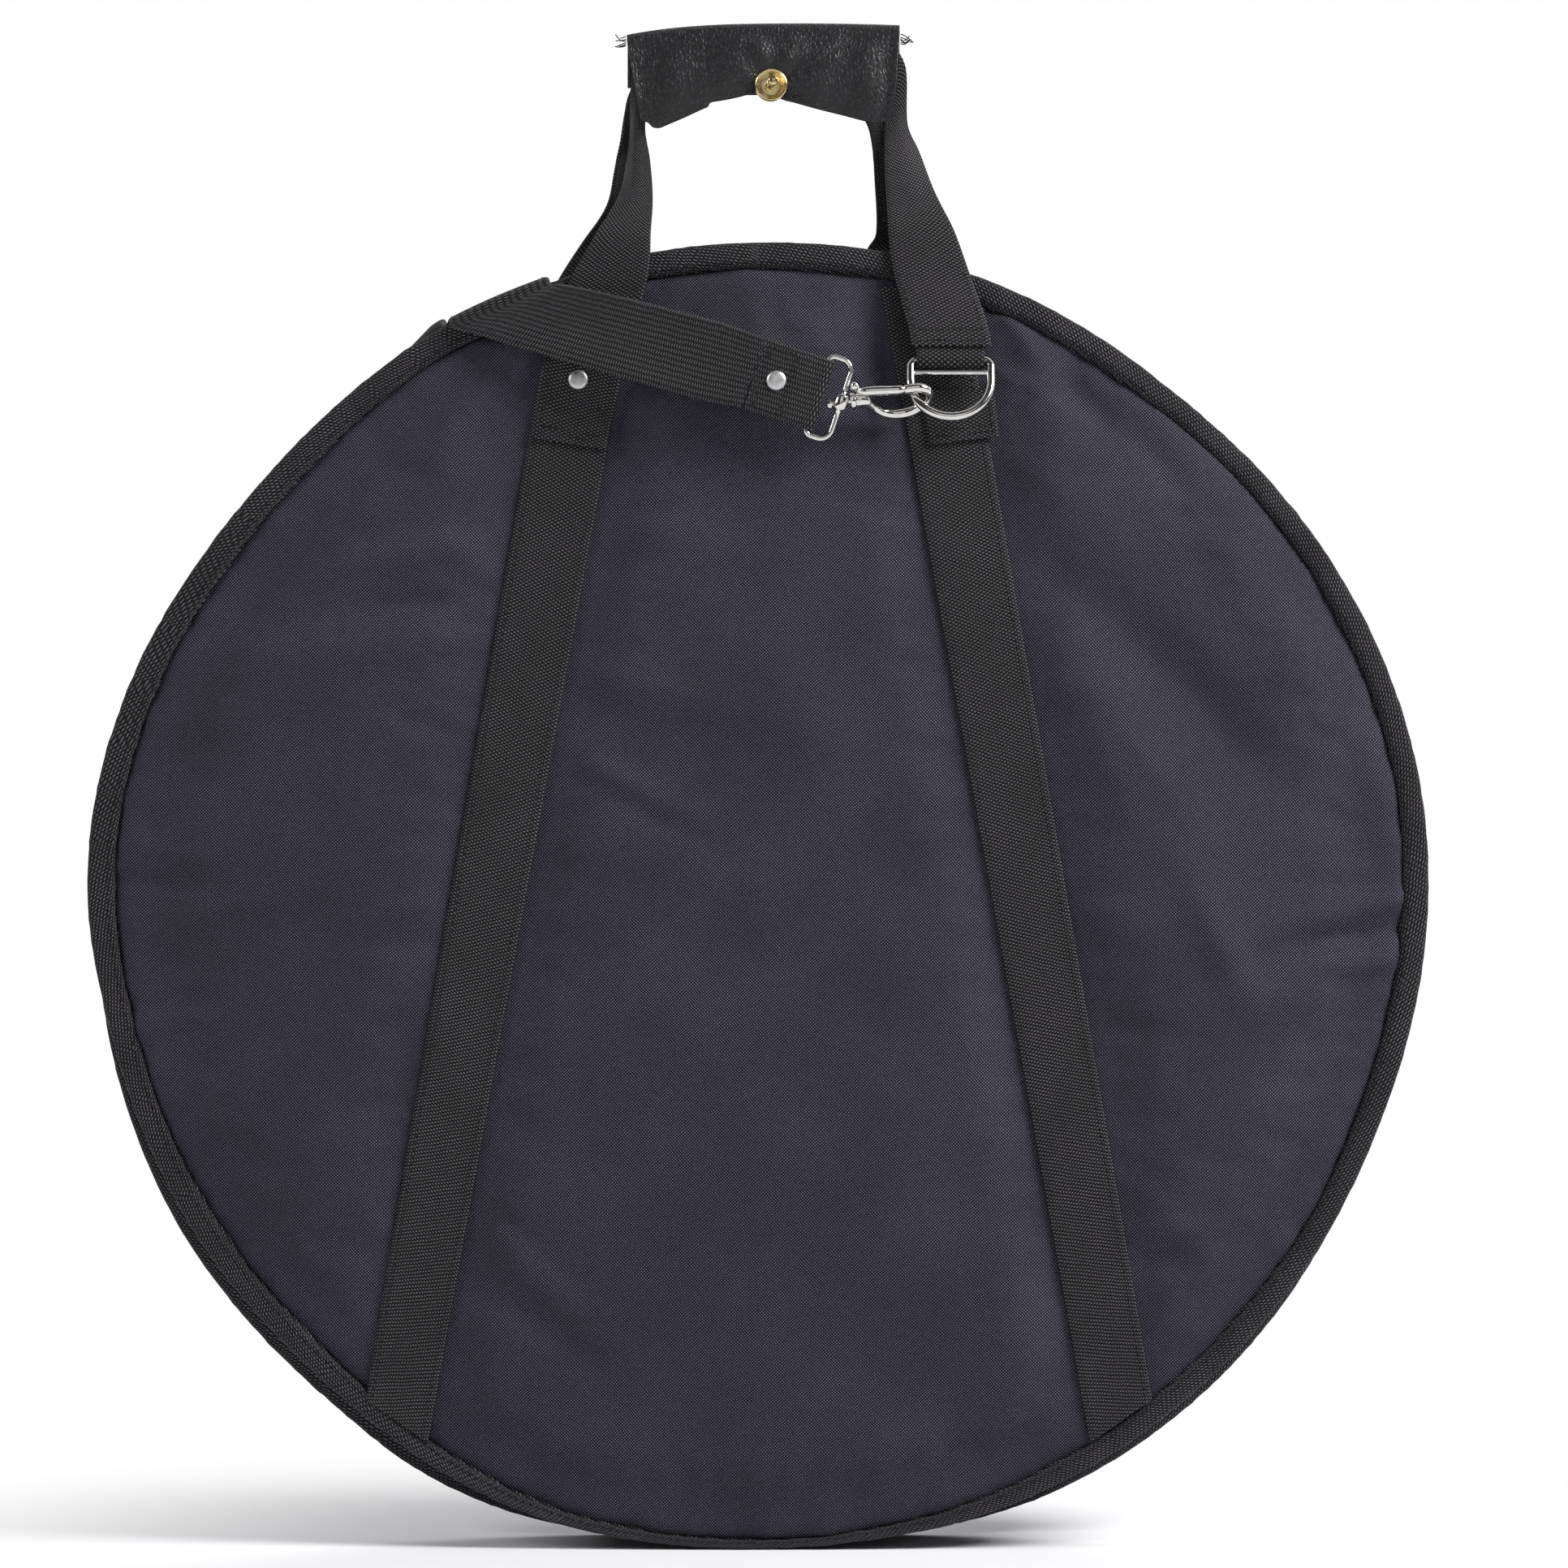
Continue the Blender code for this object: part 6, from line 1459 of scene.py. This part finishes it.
fold_of = {}
for prefix, body in (("front", "front_half"), ("rear", "rear_half")):
    centre, _, _, strap, length, side = FRAMES[prefix]
    end, face = ribbon(f"{prefix}_strap_end_webbing", resample(fold_rows(prefix, 0.0345), 0.0008), 0.0016, strap_cloth,
                       (0, side, 0))
    lines = [cross_line(face, share, 0.0025) for share in (0.030, 0.062, 0.235, 0.262)]
    lines += [seam_line(face, 0.0028, 0.03, 0.26, k) for k in (0, 1)]
    sewing = stitches(f"{prefix}_strap_end_stitches", lines, 2.6, 0.8, thread)
    place = centre - strap * (0.0115 + 0.0205) + Vector((0, side * 0.0037, 0))
    head = lathe(f"{prefix}_strap_rivet_head", RIVET, place, (0, side, 0), satin)
    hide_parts(f"{prefix}_strap_end")
    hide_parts(f"{prefix}_strap_rivet")
    for piece in (end, sewing, head):
        if prefix == "rear":
            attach(piece, "rear_clip")
    if prefix == "front":
        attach(head, "front_half")
        for piece in (end, sewing):
            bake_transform(piece)

# Across the front: over the handle's end, up to the rim, where it creases and turns edge down
centre, _, _, strap, length, _ = FRAMES["front"]
start = centre - strap * 0.0435
start.y = -0.05787
finish_row = Vector((-0.1222, -0.0345, 0.5893))
tangent = Vector((math.cos(math.radians(23.4)), 0, math.sin(math.radians(23.4))))
rows = []
for n in range(13):
    share = n / 12
    middle = start.lerp(finish_row, share)
    middle.y = start.y + (finish_row.y - start.y) * share**2.2
    wide = 0.0175 + 0.0015 * min(1, share / 0.15)
    across = (length * wide).lerp(tangent * 0.0258, share**3)
    row = []
    for k in range(9):
        t = k / 8
        spot = middle + across * (2 * t - 1)
        spot.y += 0.0012 * math.sin(math.pi * t) * math.sin(math.pi * share)
        spot.y -= 0.0016 * math.exp(-(((share - 0.80 - 0.12 * t) / 0.05) ** 2)) * (1 - 0.6 * t)
        row.append(spot)
    rows.append(row)
# From the front over the rim, down behind and round the loop: middle x, y, z and half the width in x and z, in mm
BACK_ROUTE = (
    (-122.6, -34.1, 590.5, 23.7, 10.2), (-122.9, -33.2, 591.3, 23.7, 10.2), (-123.2, -31.2, 591.8, 23.7, 10.2),
    (-123.8, -26, 591.9, 23.5, 10.2), (-125.8, -12, 591.0, 23.1, 10.2), (-128.4, 0, 589.9, 22.6, 10.2),
    (-131.0, 14, 589.6, 22.1, 10.1), (-133.6, 26, 589.2, 21.7, 10.1), (-135.8, 32.6, 588.2, 21.4, 10.0),
    (-140, 37.0, 583.5, 20.8, 9.0), (-148, 40, 565, 19.5, 6.3), (-153, 45, 535, 19.3, 3.1),
    (-154, 49, 480, 19, 1), (-152.5, 51.5, 400, 19, -.3), (-149, 52.5, 300, 19, -1), (-144, 52.5, 220, 19, -1.3),
    (-141, 53, 180, 18.9, -1.7), (-140.4, 53, 169.5, 18.9, -1.7), (-139.7, 54.2, 165.3, 18.9, -1.7),
    (-139.1, 57.3, 162.2, 18.9, -1.7), (-138.5, 61.5, 161, 18.9, -1.7), (-137.9, 65.8, 162.2, 18.9, -1.7),
    (-137.2, 68.9, 165.3, 18.9, -1.7), (-136.6, 70, 169.5, 18.9, -1.7), (-136, 70, 180, 18.9, -1.7),
)
for x, y, z, a, b in BACK_ROUTE:
    arch = 1.1 * max(0, 1 - max(0, y - 20) / 20)
    rows.append([Vector((x + a * (k / 4 - 1), y, z + b * (k / 4 - 1) + arch * (1 - (k / 4 - 1) ** 2))) / 1000
                 for k in range(9)])
long_strap, face = ribbon("shoulder_strap_webbing", resample(rows, 0.0017), 0.0016, strap_cloth, (0, -1, 0),
                          columns=10, wave=0.0003)
lines = [seam_line(face, 0.0026, 0.0, 0.99, k) for k in (0, 1)]
long_sewing = stitches("shoulder_strap_stitches", lines, 3.2, 0.6, thread)
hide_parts("shoulder_strap_front", "shoulder_strap_back")
for piece in (long_strap, long_sewing):
    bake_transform(piece)

RETURN_ROWS = (
    ((-154.9, 70, 182.7), (-136, 70, 181), (-117.1, 70, 179.4)),
    ((-133.9, 66.8, 310.2), (-115.2, 66.8, 307.1), (-96.5, 66.8, 304)),
    ((-131.9, 68.3, 322.4), (-113.2, 68.3, 319.3), (-94.4, 68.3, 316.3)),
    ((-131.2, 68.1, 327), (-112.4, 68.2, 323.9), (-93.7, 68.2, 320.8)),
    ((-130.1, 62.8, 333.6), (-111.3, 62.8, 330.5), (-92.6, 62.8, 327.4)),
    ((-129.3, 62.7, 338.1), (-110.6, 62.7, 335), (-91.9, 62.7, 331.9)),
    ((-128.3, 67.7, 344.7), (-109.5, 67.7, 341.6), (-90.8, 67.8, 338.5)),
    ((-127.5, 67.6, 349.3), (-108.8, 67.6, 346.2), (-90, 67.6, 343.1)),
    ((-125.5, 65.5, 361.5), (-106.7, 65.5, 358.4), (-88, 65.5, 355.3)),
    ((-109.5, 63, 456.9), (-90.5, 63, 456.9), (-71.5, 63, 456.9)),
)
rows = [[tuple(v / 1000 for v in p) for p in row] for row in RETURN_ROWS]
return_strap, face = ribbon("shoulder_strap_return_webbing", resample(rows, 0.0016), 0.0016, strap_cloth, (0, 1, 0))
lines = [seam_line(face, 0.0026, 0.01, 0.99, k) for k in (0, 1)]
return_sewing = stitches("shoulder_strap_return_stitches", lines, 3.2, 0.6, thread)
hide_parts("shoulder_strap_return")
for piece in (return_strap, return_sewing):
    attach(piece, "rear_half")


def moulded(name, dark, light, low, high, grain, relief):
    """A moulded finish with a fine grain in mm, for plastic and rubber."""
    made = bpy.data.materials.new(name)
    made.use_nodes = True
    tree = made.node_tree
    shader = tree.nodes["Principled BSDF"]
    shader.inputs["IOR"].default_value = 1.5
    place = add(tree, "ShaderNodeTexCoord").outputs["Object"]
    pits = add(tree, "ShaderNodeTexNoise", {"Vector": place, "Scale": 1000 / grain, "Detail": 2.0})
    rubs = add(tree, "ShaderNodeTexNoise", {"Vector": place, "Scale": 110.0, "Detail": 3.0})
    edge = add(tree, "ShaderNodeMapRange", {
        "Value": add(tree, "ShaderNodeNewGeometry").outputs["Pointiness"], "From Min": 0.5, "From Max": 0.62,
        "To Max": 0.6,
    })
    amount = add(tree, "ShaderNodeMath", {0: rubs.outputs["Fac"], 1: 0.6, 2: edge.outputs[0]}, operation="MULTIPLY_ADD")
    tone = add(tree, "ShaderNodeMix", {"Factor": amount.outputs[0], 6: colour(dark), 7: colour(light)},
               data_type="RGBA")
    rough = add(tree, "ShaderNodeMapRange", {"Value": rubs.outputs["Fac"], "To Min": low, "To Max": high})
    bump = add(tree, "ShaderNodeBump", {"Height": pits.outputs["Fac"], "Strength": 0.5, "Distance": relief / 1000})
    tree.links.new(tone.outputs[2], shader.inputs["Base Color"])
    tree.links.new(rough.outputs[0], shader.inputs["Roughness"])
    tree.links.new(bump.outputs[0], shader.inputs["Normal"])
    return made


def refinish(node, material):
    """A better finish on a CAD piece whose shape is right."""
    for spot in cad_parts[node].material_slots:
        spot.material = material


# Slide adjuster: moulded acetal, black, spark-eroded matt grain with rubbed edges
refinish("slide_adjuster", moulded("spark_grained_acetal", "#121213", "#2c2c2e", 0.36, 0.52, 0.5, 0.03))
# Zip sliders: die-cast zinc, nickel plated. Pulls: moulded rubber, dull black
for hand in ("left", "right"):
    refinish(f"{hand}_zip_slider", nickel)
rubber = moulded("moulded_pull_rubber", "#161617", "#343436", 0.55, 0.72, 0.35, 0.05)


def pull(name, start, end, route):
    """A soft moulded pull along the rim: (share, radius, half thickness, half width) in mm, from its root."""
    marks = [p[0] for p in route]
    points, faces, places = [], [], []
    steps, sides = 36, 24
    for n in range(steps + 1):
        mark = n / steps
        radius, thick, wide = (np.interp(mark, marks, [p[k] for p in route]) / 1000 for k in (1, 2, 3))
        close = math.sqrt(max(0.0, 1 - max(0, (mark - 0.86) / 0.14) ** 2)) if mark > 0.86 else 1
        close = max(close, 0.06)
        turn = math.radians(start + (end - start) * mark)
        out = Vector((math.sin(turn), 0, math.cos(turn)))
        for k in range(sides):
            c, d = math.cos(2 * math.pi * k / sides), math.sin(2 * math.pi * k / sides)
            high = math.copysign(abs(d) ** 0.75, d) * thick * (0.45 + 0.55 * close)
            side = math.copysign(abs(c) ** 0.75, c) * wide * close
            points.append(Vector((0, 0, MIDDLE)) + out * (radius + high) + Vector((0, side, 0)))
            places.append((mark * 26, side * 1000 + (12 if d < 0 else 0)))
    for n in range(steps):
        for k in range(sides):
            a, b = n * sides + k, n * sides + (k + 1) % sides
            faces.append((a, b, b + sides, a + sides) if end > start else (b, a, a + sides, b + sides))
    first, last = list(range(sides)), [steps * sides + k for k in range(sides)]
    faces.append(tuple(first[::-1] if end > start else first))
    faces.append(tuple(last if end > start else last[::-1]))
    mesh = mesh_from(name, points, faces, places)
    mesh.set_sharp_from_angle(angle=math.radians(50))
    return object_from(name, mesh, rubber)


left_pull = pull("left_pull_rubber", -37.5, -42.1, (
    (0, 311.6, 0.9, 2.6), (0.15, 311.0, 0.9, 3.6), (0.4, 310.2, 0.9, 4.0), (0.7, 309.6, 0.9, 4.0), (1, 309.5, 0.9, 4.0)))
right_pull = pull("right_pull_rubber", -33.7, -28.3, (
    (0, 311.8, 0.9, 2.6), (0.15, 312.0, 1.0, 3.6), (0.45, 313.6, 1.7, 4.0), (0.75, 315.2, 2.6, 4.0), (1, 315.7, 2.8, 4.0)))
for hand, piece in (("left", left_pull), ("right", right_pull)):
    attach(piece, f"{hand}_pull")
    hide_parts(f"{hand}_zip_pull")
